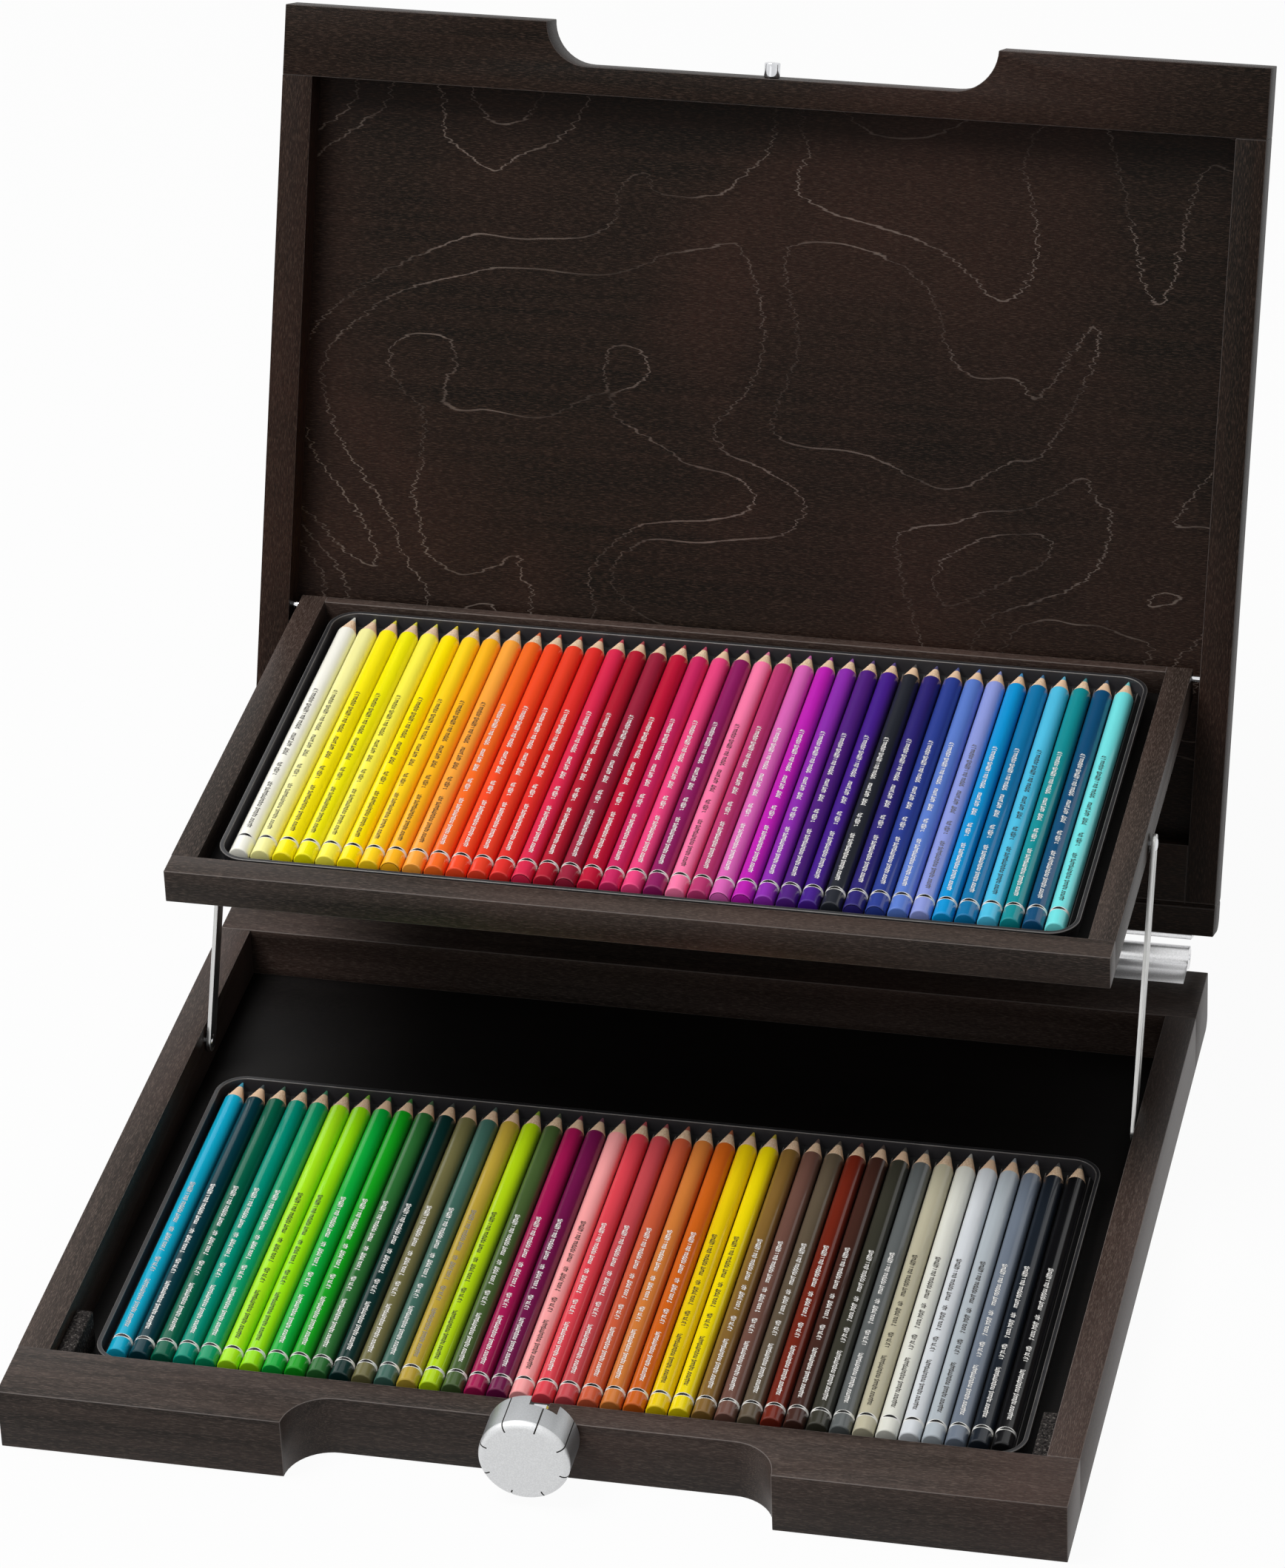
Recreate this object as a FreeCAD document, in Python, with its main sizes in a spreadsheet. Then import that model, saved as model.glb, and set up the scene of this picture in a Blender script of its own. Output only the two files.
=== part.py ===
"""Hinged pencil case with a lift-up upper tray, built as a parametric FreeCAD document.

The case stands open. +Z is up and the front, with its latch knob, faces -Y. The origin is the centre
of the base's footprint on its underside. Lengths are in millimetres and angles in degrees.
"""
import FreeCAD, Part
import math
import os
import re
import Sketcher

Vector = FreeCAD.Vector

# Driving sizes, each written once. They fill the sheet "dims".
DRIVING = {
    # wooden case
    "case_depth": 336.0,
    "base_height": 24.4,
    "parting_gap": 0.4,
    "side_rail": 11.9,
    "front_rail": 27.4,
    "rear_rail": 31.9,
    "floor_board": 4.0,
    "panel_board": 3.4,
    "rabbet": 6.0,
    "tenon_length": 8.0,
    "tenon_thickness": 5.0,
    "tenon_shoulder": 4.0,
    "lid_rear_rail": 23.3,
    "hinge_strip": 11.8,
    "rear_round": 5.0,
    "strip_tenon": 7.0,
    "seam_chamfer": 1.0,
    "open_angle": 113.0,
    # finger cut-outs in both front rails
    "cutout_half": 88.6,
    "cutout_depth": 16.6,
    # pencils
    "pencil_length": 176.0,
    "pencil_width": 7.7,
    "pencil_sides": 12,
    "pencil_pitch": 8.34,
    "cone_length": 13.2,
    "upper_count": 38.0,
    "lower_count": 40.0,
    # tins and the moulded inserts in them
    "tin_sheet": 0.5,
    "tin_height": 9.0,
    "tin_corner": 11.6,
    "tin_margin": 4.45,
    "rim_width": 1.8,
    "rim_height": 1.8,
    "insert_thickness": 2.65,
    "insert_gap": 0.3,
    "ridge_height": 2.8,
    "ridge_foot": 3.6,
    "ridge_tip_gap": 5.5,
    "tip_gap": 0.5,
    "butt_gap": 2.8,
    "lower_tin_gap": 12.0,
    # upper tray
    "tray_height": 13.4,
    "tray_side": 10.0,
    "tray_front": 11.4,
    "tray_rear": 4.0,
    "tray_board": 3.2,
    "tray_rabbet": 3.0,
    "tin_side_gap": 5.0,
    "tin_end_gap": 2.75,
    "tray_front_gap": 8.5,
    "pad_width": 6.4,
    "pad_length": 32.0,
    "pad_gap": 0.2,
    # four-bar linkage
    "closed_rise": 2.79,
    "link_spacing": 107.2,
    "link_thickness": 1.5,
    "link_width": 8.0,
    "link_side_gap": 1.0,
    "pin_radius": 1.3,
    "pin_seat": 6.0,
    "running_gap": 0.05,
    "pivot_from_rear": 3.2,
    "pivot_from_top": 2.6,
    "link_pin_rise": 3.1,
    "swing_gap": 1.1,
    # hinge
    "hinge_back": 8.8,
    "knuckle_radius": 4.5,
    "hinge_end_gap": 8.3,
    "knuckle_count": 5.0,
    "knuckle_gap": 0.4,
    "leaf_thickness": 1.8,
    "web_seat": 0.5,
    "base_leaf_reach": 9.2,
    "lid_leaf_height": 14.0,
    # latch
    "knob_drop": 5.0,
    "knob_length": 17.0,
    "knob_wall": 1.8,
    "knob_face": 2.5,
    "knob_shoulder": 2.4,
    "hub_radius": 5.5,
    "shaft_radius": 2.5,
    "shaft_seat": 11.0,
    "knob_rim_gap": 1.0,
    "nut_flats": 8.0,
    "nut_thickness": 3.2,
    "nut_pocket_radius": 6.0,
    "nut_pocket_depth": 3.5,
    "notch_width": 10.5,
    "notch_depth": 5.2,
    "notch_angle": 19.0,
    "latch_pin_radius": 3.1,
    "latch_pin_neck": 1.9,
    "latch_pin_reach": 6.0,
    "latch_pin_seat": 7.0,
    "latch_pin_lift": 5.6,
    "latch_gap": 0.8,
}

# Places and sizes worked out from the driving ones. They fill the sheet "places", in this order.
DERIVED = {
    "upper_tin_width": "upper_count * pencil_pitch + 2 * tin_margin",
    "lower_tin_width": "lower_count * pencil_pitch + 2 * tin_margin",
    "tin_depth": "pencil_length + tip_gap + butt_gap + 2 * rim_width",
    "tray_half": "upper_tin_width / 2 + tin_side_gap + tray_side",
    "tray_depth": "tin_depth + 2 * tin_end_gap + tray_front + tray_rear",
    "inner_half": "tray_half + link_thickness + 2 * link_side_gap + running_gap * 2",
    "case_half": "inner_half + side_rail",
    "front_y": "-case_depth / 2",
    "rear_y": "case_depth / 2",
    "recess_y": "front_y + cutout_depth",
    "inner_front": "front_y + front_rail",
    "inner_rear": "rear_y - rear_rail",
    "lid_face": "base_height + parting_gap",
    "hinge_y": "rear_y + hinge_back",
    "hinge_z": "base_height + parting_gap / 2",
    "closed_rear": "inner_front + tray_front_gap + tray_depth",
    "closed_pivot_y": "closed_rear - pivot_from_rear",
    "link_length": "(hinge_y - closed_pivot_y) / cos(closed_rise)",
    "closed_pivot_z": "hinge_z + link_length * sin(closed_rise)",
    "link_angle": "180 - closed_rise - open_angle",
    "link_reach": "link_length * cos(link_angle)",
    "link_lift": "link_length * sin(link_angle)",
    "pivot_y": "hinge_y + link_reach",
    "pivot_z": "hinge_z + link_lift",
    "link_drop": "tray_height - pivot_from_top - link_pin_rise",
    "base_pin_y": "hinge_y - link_spacing",
    "base_pin_z": "hinge_z - link_drop",
    "tray_pin_y": "pivot_y - link_spacing",
    "tray_pin_z": "pivot_z - link_drop",
    "tray_top": "pivot_z + pivot_from_top",
    "tray_bottom": "tray_top - tray_height",
    "tray_rear_y": "pivot_y + pivot_from_rear",
    "tray_front_y": "tray_rear_y - tray_depth",
    "closed_bottom": "closed_pivot_z + pivot_from_top - tray_height",
    "tray_reach": "pivot_from_rear * sin(open_angle) - (tray_height - pivot_from_top) * cos(open_angle)",
    "lid_recess": "closed_pivot_z - lid_face + tray_reach + swing_gap",
    "panel_z": "lid_face + lid_recess",
    "lid_top": "panel_z + panel_board",
    "strip_y": "rear_y - hinge_strip",
    "lid_inner_rear": "strip_y - lid_rear_rail",
    "swing_y": "hinge_y - hinge_y * cos(open_angle) - hinge_z * sin(open_angle)",
    "swing_z": "hinge_z + hinge_y * sin(open_angle) - hinge_z * cos(open_angle)",
    "hinge_half": "case_half - hinge_end_gap",
    "knuckle_pitch": "2 * hinge_half / knuckle_count",
    "link_x": "tray_half + link_side_gap + running_gap",
    "lower_tin_front": "inner_front + lower_tin_gap",
    "upper_tin_front": "tray_front_y + tray_front + tin_end_gap",
    "upper_tin_z": "tray_bottom + tray_board",
    "knob_z": "base_height - knob_drop",
    "latch_pin_z": "lid_face + latch_pin_lift",
    "cup_radius": "latch_pin_z - knob_z + latch_pin_radius + latch_gap",
    "knob_radius": "cup_radius + knob_wall",
    "knob_rear": "recess_y - knob_rim_gap",
}

doc = FreeCAD.newDocument("pencil_case")
nodes = []


def formula(text):
    """Return text with each size's name led by the name of the sheet that holds it."""
    def with_sheet(match):
        word = match.group(0)
        if word in DRIVING:
            return "dims." + word
        if word in DERIVED:
            return "places." + word
        return word
    return re.sub(r"[a-z][a-z_]*", with_sheet, str(text))


def make_sheet(name, cells):
    """Fill a spreadsheet with one aliased cell for each entry."""
    sheet = doc.addObject("Spreadsheet::Sheet", name)
    for row, (alias, content) in enumerate(cells.items(), start=1):
        sheet.set(f"A{row}", alias)
        sheet.set(f"B{row}", content)
        sheet.setAlias(f"B{row}", alias)
    return sheet


dims = make_sheet("dims", {alias: str(size) for alias, size in DRIVING.items()})
doc.recompute()
places = make_sheet("places", {alias: "=" + formula(text) for alias, text in DERIVED.items()})
doc.recompute()


def value(text):
    """Return the number that an expression in the sheets' names stands for."""
    return float(dims.evalExpression(formula(text)))


def bind(thing, **expressions):
    """Bind properties to expressions. A double underscore stands for a dot in the property's path."""
    for path, text in expressions.items():
        thing.setExpression(path.replace("__", "."), formula(text))


def node(name, thing):
    """Give a finished sub-part the name of its file."""
    thing.Label = name
    nodes.append(thing)
    return thing


def swing_open(thing):
    """Turn a sub-part drawn in the closed lid's place to its open place about the hinge axis."""
    thing.Placement = FreeCAD.Placement(Vector(0, 0, 0), FreeCAD.Rotation(Vector(1, 0, 0), -1.0))
    bind(thing, Placement__Base__y="swing_y", Placement__Base__z="swing_z",
         Placement__Rotation__Angle="-open_angle")
    return thing


# ---------------------------------------------------------------- solids with straight sides

def box(x, y, z):
    """Make a box between the low and high expressions given for each axis."""
    solid = doc.addObject("Part::Box", "box")
    bind(solid, Length=f"({x[1]}) - ({x[0]})", Width=f"({y[1]}) - ({y[0]})", Height=f"({z[1]}) - ({z[0]})",
         Placement__Base__x=x[0], Placement__Base__y=y[0], Placement__Base__z=z[0])
    return solid


AXIS_TURN = {
    "x": FreeCAD.Rotation(Vector(0, 1, 0), 90),
    "y": FreeCAD.Rotation(Vector(1, 0, 0), -90),
    "z": FreeCAD.Rotation(),
}


def rod(axis, start, end, centre, radius, end_radius=None):
    """Make a cylinder, or a cone with end_radius, along an axis from start to end.

    centre holds the expressions of the other two coordinates, in x, y, z order.
    """
    if end_radius is None:
        solid = doc.addObject("Part::Cylinder", "rod")
        bind(solid, Radius=radius)
    else:
        solid = doc.addObject("Part::Cone", "cone")
        bind(solid, Radius1=radius, Radius2=end_radius)
    solid.Placement = FreeCAD.Placement(Vector(0, 0, 0), AXIS_TURN[axis])
    others = [letter for letter in "xyz" if letter != axis]
    where = {axis: start, others[0]: centre[0], others[1]: centre[1]}
    bind(solid, Height=f"({end}) - ({start})", Placement__Base__x=where["x"],
         Placement__Base__y=where["y"], Placement__Base__z=where["z"])
    return solid


def fuse(solids):
    """Join solids into one shape."""
    if len(solids) == 1:
        return solids[0]
    joined = doc.addObject("Part::MultiFuse", "fuse")
    joined.Shapes = solids
    joined.Refine = True
    return joined


def cut(base, tools):
    """Take tools away from base."""
    result = doc.addObject("Part::Cut", "cut")
    result.Base = base
    result.Tool = fuse(tools)
    result.Refine = True
    return result


def group(solids):
    """Hold separate solids as one sub-part."""
    result = doc.addObject("Part::Compound", "group")
    result.Links = solids
    return result


# ---------------------------------------------------------------- sketches

def plane(body, role):
    """Return one of a body's own origin planes."""
    return [feature for feature in body.Origin.OriginFeatures if feature.Role == role][0]


def new_sketch(body, role, offset="0"):
    """Add a sketch on a body's origin plane, moved along the plane's normal by offset."""
    sketch = body.newObject("Sketcher::SketchObject", "sketch")
    sketch.AttachmentSupport = [(plane(body, role), "")]
    sketch.MapMode = "FlatFace"
    bind(sketch, AttachmentOffset__Base__z=offset)
    return sketch


def hold_point(sketch, edge, end, point):
    """Tie one end of an edge to a pair of expressions."""
    for kind, text in zip(("DistanceX", "DistanceY"), point):
        index = sketch.addConstraint(Sketcher.Constraint(kind, -1, 1, edge, end, value(text)))
        sketch.renameConstraint(index, f"{kind}_{edge}_{end}")
        bind(sketch, **{f"Constraints__{kind}_{edge}_{end}": text})


def outline(sketch, points, arcs=None):
    """Draw a closed outline through points, each a pair of expressions.

    arcs maps the index of a side to the centre of its arc, which runs clockwise along the outline.
    """
    arcs = arcs or {}
    corners = [Vector(value(across), value(along), 0) for across, along in points]
    for index, corner in enumerate(corners):
        following = corners[(index + 1) % len(corners)]
        if index in arcs:
            centre = Vector(value(arcs[index][0]), value(arcs[index][1]), 0)
            first = following - centre
            last = corner - centre
            circle = Part.Circle(centre, Vector(0, 0, 1), first.Length)
            turn = Vector(1, 0, 0)
            start = turn.getAngle(first) * (1 if first.y >= 0 else -1)
            stop = turn.getAngle(last) * (1 if last.y >= 0 else -1)
            sketch.addGeometry(Part.ArcOfCircle(circle, start, stop), False)
        else:
            sketch.addGeometry(Part.LineSegment(corner, following), False)
    for index in range(len(points)):
        after = (index + 1) % len(points)
        near = 1 if index in arcs else 2
        far = 2 if after in arcs else 1
        sketch.addConstraint(Sketcher.Constraint("Coincident", index, near, after, far))
    for index, point in enumerate(points):
        hold_point(sketch, index, 2 if index in arcs else 1, point)
    for index, centre in arcs.items():
        number = sketch.addConstraint(Sketcher.Constraint("DistanceY", -1, 1, index, 3, value(centre[1])))
        sketch.renameConstraint(number, f"centre_{index}")
        bind(sketch, **{f"Constraints__centre_{index}": centre[1]})
    return sketch


def circle(sketch, centre, radius):
    """Draw a circle with its centre and radius tied to expressions."""
    middle = Vector(value(centre[0]), value(centre[1]), 0)
    edge = sketch.addGeometry(Part.Circle(middle, Vector(0, 0, 1), value(radius)), False)
    hold_point(sketch, edge, 3, centre)
    number = sketch.addConstraint(Sketcher.Constraint("Radius", edge, value(radius)))
    sketch.renameConstraint(number, f"Radius_{edge}")
    bind(sketch, **{f"Constraints__Radius_{edge}": radius})
    return sketch


def rounded_rectangle(sketch, x, y, corner):
    """Draw a rectangle with four equal round corners between the low and high expressions."""
    low = Vector(value(x[0]), value(y[0]), 0)
    high = Vector(value(x[1]), value(y[1]), 0)
    radius = value(corner)
    centres = [Vector(high.x - radius, low.y + radius, 0), Vector(high.x - radius, high.y - radius, 0),
               Vector(low.x + radius, high.y - radius, 0), Vector(low.x + radius, low.y + radius, 0)]
    quarter = math.pi / 2
    for index, centre in enumerate(centres):
        before = (index - 1) * quarter
        sketch.addGeometry(
            Part.ArcOfCircle(Part.Circle(centre, Vector(0, 0, 1), radius), before, before + quarter), False)
    for index in range(4):
        start = sketch.getPoint(index, 2)
        sketch.addGeometry(Part.LineSegment(start, sketch.getPoint((index + 1) % 4, 1)), False)
    for index in range(4):
        sketch.addConstraint(Sketcher.Constraint("Tangent", index, 2, index + 4, 1))
        sketch.addConstraint(Sketcher.Constraint("Tangent", index + 4, 2, (index + 1) % 4, 1))
    for index, kind in ((4, "Vertical"), (5, "Horizontal"), (6, "Vertical"), (7, "Horizontal")):
        sketch.addConstraint(Sketcher.Constraint(kind, index))
    for index in (1, 2, 3):
        sketch.addConstraint(Sketcher.Constraint("Equal", 0, index))
    sides = (("Radius", (0,), corner), ("DistanceX", (-1, 1, 4, 1), x[1]), ("DistanceY", (-1, 1, 5, 1), y[1]),
             ("DistanceX", (-1, 1, 6, 1), x[0]), ("DistanceY", (-1, 1, 7, 1), y[0]))
    for number, (kind, ends, text) in enumerate(sides):
        index = sketch.addConstraint(Sketcher.Constraint(kind, *ends, value(text)))
        sketch.renameConstraint(index, f"side_{number}")
        bind(sketch, **{f"Constraints__side_{number}": text})
    return sketch


def pad(body, sketch, length, both_ways=False):
    """Pad a sketch along its plane's normal."""
    feature = body.newObject("PartDesign::Pad", "pad")
    feature.Profile = sketch
    if both_ways:
        feature.SideType = "Symmetric"
    bind(feature, Length=length)
    return feature


def pocket(body, sketch, depth, both_ways=False):
    """Cut a sketch into a body along its plane's normal."""
    feature = body.newObject("PartDesign::Pocket", "pocket")
    feature.Profile = sketch
    feature.Reversed = True
    if both_ways:
        feature.SideType = "Symmetric"
    bind(feature, Length=depth)
    return feature


def new_body():
    """Add an empty body."""
    return doc.addObject("PartDesign::Body", "body")


# ---------------------------------------------------------------- wooden rails

def front_rail(low, high):
    """Make a front rail with the finger cut-out, between two heights."""
    body = new_body()
    sketch = new_sketch(body, "XY_Plane", low)
    outline(sketch,
            [("-case_half", "front_y"), ("-cutout_half", "front_y"),
             ("cutout_depth - cutout_half", "recess_y"), ("cutout_half - cutout_depth", "recess_y"),
             ("cutout_half", "front_y"), ("case_half", "front_y"),
             ("case_half", "inner_front"), ("-case_half", "inner_front")],
            arcs={1: ("cutout_depth - cutout_half", "front_y"), 3: ("cutout_half - cutout_depth", "front_y")})
    pad(body, sketch, f"({high}) - ({low})")
    return body


def tenons(side, low, high, ends):
    """Make the tenons of a side rail, one for each end given as (y of the shoulder, signed length)."""
    middle = f"{side} * (inner_half + side_rail / 2)"
    solids = []
    for shoulder, length in ends:
        near, far = (shoulder, f"{shoulder} + {length}")
        if length.startswith("-"):
            near, far = (f"{shoulder} {length}", shoulder)
        solids.append(box((f"{middle} - tenon_thickness / 2", f"{middle} + tenon_thickness / 2"),
                          (near, far), (low, high)))
    return solids


def side_span(side):
    """Return the low and high x of a side rail: side is -1 for the left one and 1 for the right one."""
    if side < 0:
        return ("-case_half", "-inner_half")
    return ("inner_half", "case_half")


BASE_TENON = ("floor_board + tenon_shoulder", "base_height - tenon_shoulder")
LID_TENON = ("lid_face + tenon_shoulder", "panel_z - tenon_shoulder")
BASE_ENDS = [("inner_front", "-tenon_length"), ("inner_rear", "tenon_length")]
LID_ENDS = [("inner_front", "-tenon_length"), ("strip_y", "strip_tenon")]
SIDES = {"left": -1, "right": 1}


def floor_tool():
    """Make the space that the base's floor board fills, rabbets included."""
    return box(("-inner_half - rabbet", "inner_half + rabbet"), ("inner_front - rabbet", "inner_rear + rabbet"),
               ("0", "floor_board"))


def panel_tool():
    """Make the space that the lid's panel fills, rabbets included."""
    return box(("-inner_half - rabbet", "inner_half + rabbet"), ("inner_front - rabbet", "lid_inner_rear + rabbet"),
               ("panel_z", "lid_top"))


def rear_rail():
    """Make the base's rear rail, whose bottom rear edge is rounded."""
    body = new_body()
    sketch = new_sketch(body, "YZ_Plane")
    outline(sketch,
            [("inner_rear", "0"), ("inner_rear", "base_height"), ("rear_y", "base_height"), ("rear_y", "rear_round"),
             ("rear_y - rear_round", "0")],
            arcs={3: ("rear_y - rear_round", "rear_round")})
    pad(body, sketch, "2 * case_half", both_ways=True)
    return body


def make_base():
    """Make the base's rails and floor."""
    shaft_hole = rod("y", "recess_y - 1", "inner_front + 1", ("0", "knob_z"), "shaft_radius + running_gap")
    nut_pocket = rod("y", "inner_front - nut_pocket_depth", "inner_front + 1", ("0", "knob_z"),
                     "nut_pocket_radius")
    front = front_rail("0", "base_height")
    front_tools = [floor_tool(), shaft_hole, nut_pocket]
    rear_tools = [floor_tool()]
    rear_tools.append(box(("-hinge_half", "hinge_half"), ("rear_y - base_leaf_reach", "rear_y + 1"),
                          ("base_height - leaf_thickness", "base_height + 1")))
    for side in SIDES.values():
        front_tools += tenons(side, *BASE_TENON, BASE_ENDS[:1])
        rear_tools += tenons(side, *BASE_TENON, BASE_ENDS[1:])
    node("base_front_rail", cut(front, front_tools))
    node("base_rear_rail", cut(rear_rail(), rear_tools))
    for word, side in SIDES.items():
        plain = box(side_span(side), ("inner_front", "inner_rear"), ("0", "base_height"))
        rail = fuse([plain] + tenons(side, *BASE_TENON, BASE_ENDS))
        pin = rod("x", f"{side} * inner_half - pin_seat", f"{side} * inner_half + pin_seat",
                  ("base_pin_y", "base_pin_z"), "pin_radius")
        node(f"base_{word}_rail", cut(rail, [floor_tool(), pin]))
    node("base_floor", floor_tool())
    pads = []
    for side in SIDES.values():
        span = ("-inner_half", "pad_width - inner_half") if side < 0 else ("inner_half - pad_width", "inner_half")
        pads.append(box(span, ("inner_front", "inner_front + pad_length"),
                        ("floor_board", "closed_bottom - pad_gap")))
    node("corner_pads", group(pads))


def make_lid():
    """Make the lid's rails, hinge strip and panel in the closed place, and swing them open."""
    pin_hole = rod("y", "recess_y - 1", "recess_y + latch_pin_seat", ("0", "latch_pin_z"),
                   "latch_pin_neck")
    front_tools = [panel_tool(), pin_hole]
    strip_tools = []
    for side in SIDES.values():
        front_tools += tenons(side, *LID_TENON, LID_ENDS[:1])
        strip_tools += tenons(side, *LID_TENON, LID_ENDS[1:])
    node("lid_front_rail", swing_open(cut(front_rail("lid_face", "lid_top"), front_tools)))
    for word, side in SIDES.items():
        plain = box(side_span(side), ("inner_front", "strip_y"), ("lid_face", "lid_top"))
        rail = fuse([plain] + tenons(side, *LID_TENON, LID_ENDS))
        pin = rod("x", f"{side} * inner_half - pin_seat", f"{side} * inner_half + pin_seat",
                  ("closed_pivot_y", "closed_pivot_z"), "pin_radius")
        node(f"lid_{word}_rail", swing_open(cut(rail, [panel_tool(), pin] + seam_grooves())))
    rear = box(("-inner_half", "inner_half"), ("lid_inner_rear", "strip_y"), ("lid_face", "lid_top"))
    node("lid_rear_rail", swing_open(cut(rear, [panel_tool()] + seam_grooves())))
    node("lid_panel", swing_open(group([panel_tool()])))
    node("lid_hinge_strip", swing_open(cut(hinge_strip(), strip_tools)))


def seam_grooves():
    """Make the V grooves along the seam between the lid and its hinge strip, inside and outside."""
    grooves = []
    for height in ("lid_face", "lid_top"):
        body = new_body()
        sketch = new_sketch(body, "YZ_Plane")
        outline(sketch, [("strip_y - seam_chamfer", height), ("strip_y", f"{height} - seam_chamfer"),
                         ("strip_y + seam_chamfer", height), ("strip_y", f"{height} + seam_chamfer")])
        pad(body, sketch, "2 * case_half + 2", both_ways=True)
        grooves.append(body)
    return grooves


def hinge_strip():
    """Make the strip along the lid's hinge side: its outer rear edge is rounded and its seam edges chamfered."""
    body = new_body()
    sketch = new_sketch(body, "YZ_Plane")
    outline(sketch,
            [("strip_y", "lid_face + seam_chamfer"), ("strip_y", "lid_top - seam_chamfer"),
             ("strip_y + seam_chamfer", "lid_top"), ("rear_y - rear_round", "lid_top"),
             ("rear_y", "lid_top - rear_round"), ("rear_y", "lid_face"),
             ("strip_y + seam_chamfer", "lid_face")],
            arcs={3: ("rear_y - rear_round", "lid_top - rear_round")})
    pad(body, sketch, "2 * case_half", both_ways=True)
    return body


# ---------------------------------------------------------------- hinge

def knuckles(first):
    """Return the low and high x of every second knuckle, starting with the one numbered first."""
    spans = []
    for index in range(first, int(value("knuckle_count")), 2):
        low = f"-hinge_half + {index} * knuckle_pitch"
        spans.append((f"{low} + knuckle_gap / 2", f"{low} + knuckle_pitch - knuckle_gap / 2"))
    return spans


def knuckle(span, web):
    """Make one knuckle: a tube around the hinge axis and the web that carries it."""
    tube = rod("x", span[0], span[1], ("hinge_y", "hinge_z"), "knuckle_radius")
    return [tube, box(span, *web)]


def make_hinge():
    """Make both hinge leaves and the pin they turn on."""
    bore = "-hinge_half - 1", "hinge_half + 1", ("hinge_y", "hinge_z"), "pin_radius + running_gap"
    base_web = (("rear_y - web_seat", "hinge_y"), ("base_height - leaf_thickness", "base_height"))
    plate = box(("-hinge_half", "hinge_half"), ("rear_y - base_leaf_reach", "rear_y"),
                ("base_height - leaf_thickness", "base_height"))
    parts = [plate]
    for span in knuckles(0):
        parts += knuckle(span, base_web)
    node("hinge_base_leaf", cut(fuse(parts), [rod("x", *bore)]))
    node("hinge_pin", rod("x", "-hinge_half", "hinge_half", ("hinge_y", "hinge_z"), "pin_radius"))
    lid_web = (("rear_y", "hinge_y - pin_radius * 2"), ("lid_face", "lid_face + leaf_thickness"))
    flange = box(("-hinge_half", "hinge_half"), ("rear_y", "rear_y + leaf_thickness"),
                 ("lid_face", "lid_face + lid_leaf_height"))
    parts = [flange]
    for span in knuckles(1):
        parts += knuckle(span, lid_web)
    node("hinge_lid_leaf", swing_open(cut(fuse(parts), [rod("x", *bore)])))


# ---------------------------------------------------------------- four-bar linkage

def pivot_pin(seat, end, centre):
    """Make a pivot pin between two x places, given in either order."""
    low, high = sorted((seat, end), key=value)
    return rod("x", low, high, centre, "pin_radius")


def link_bar(side):
    """Make one flat link bar with round ends and two pin holes, standing at its open angle."""
    body = new_body()
    sketch = new_sketch(body, "YZ_Plane")
    across = ("link_width / 2 * sin(link_angle)", "link_width / 2 * cos(link_angle)")
    foot = ("base_pin_y", "base_pin_z")
    tip = ("tray_pin_y", "tray_pin_z")
    outline(sketch,
            [(f"{foot[0]} - {across[0]}", f"{foot[1]} + {across[1]}"),
             (f"{tip[0]} - {across[0]}", f"{tip[1]} + {across[1]}"),
             (f"{tip[0]} + {across[0]}", f"{tip[1]} - {across[1]}"),
             (f"{foot[0]} + {across[0]}", f"{foot[1]} - {across[1]}")],
            arcs={1: tip, 3: foot})
    for centre in (foot, tip):
        circle(sketch, centre, "pin_radius + running_gap")
    pad(body, sketch, "link_thickness")
    outer = "link_x" if side > 0 else "-link_x - link_thickness"
    bind(body, Placement__Base__x=outer)
    return body


def make_linkage():
    """Make the link bars and the pins of the four pivots on each side."""
    base_pins, tray_pins, pivot_pins = ([], [], [])
    for word, side in SIDES.items():
        node(f"link_{word}", link_bar(side))
        rail = f"{side} * inner_half"
        tray = f"{side} * tray_half"
        base_pins.append(pivot_pin(f"{rail} + {side} * pin_seat", f"{rail} - {side} * (inner_half - link_x)",
                                    ("base_pin_y", "base_pin_z")))
        tray_pins.append(pivot_pin(f"{tray} - {side} * pin_seat",
                                    f"{tray} + {side} * (link_x + link_thickness - tray_half)",
                                    ("tray_pin_y", "tray_pin_z")))
        pivot_pins.append(pivot_pin(f"{rail} + {side} * pin_seat", f"{tray} - {side} * pin_seat",
                                     ("closed_pivot_y", "closed_pivot_z")))
    node("link_base_pins", group(base_pins))
    node("link_tray_pins", group(tray_pins))
    node("tray_pivot_pins", swing_open(group(pivot_pins)))


# ---------------------------------------------------------------- upper tray

def tray_floor_tool():
    """Make the space that the tray's floor board fills."""
    inner = "tray_half - tray_side + tray_rabbet"
    return box((f"-({inner})", inner),
               ("tray_front_y + tray_front - tray_rabbet", "tray_rear_y - tray_rear"),
               ("tray_bottom", "tray_bottom + tray_board"))


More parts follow.
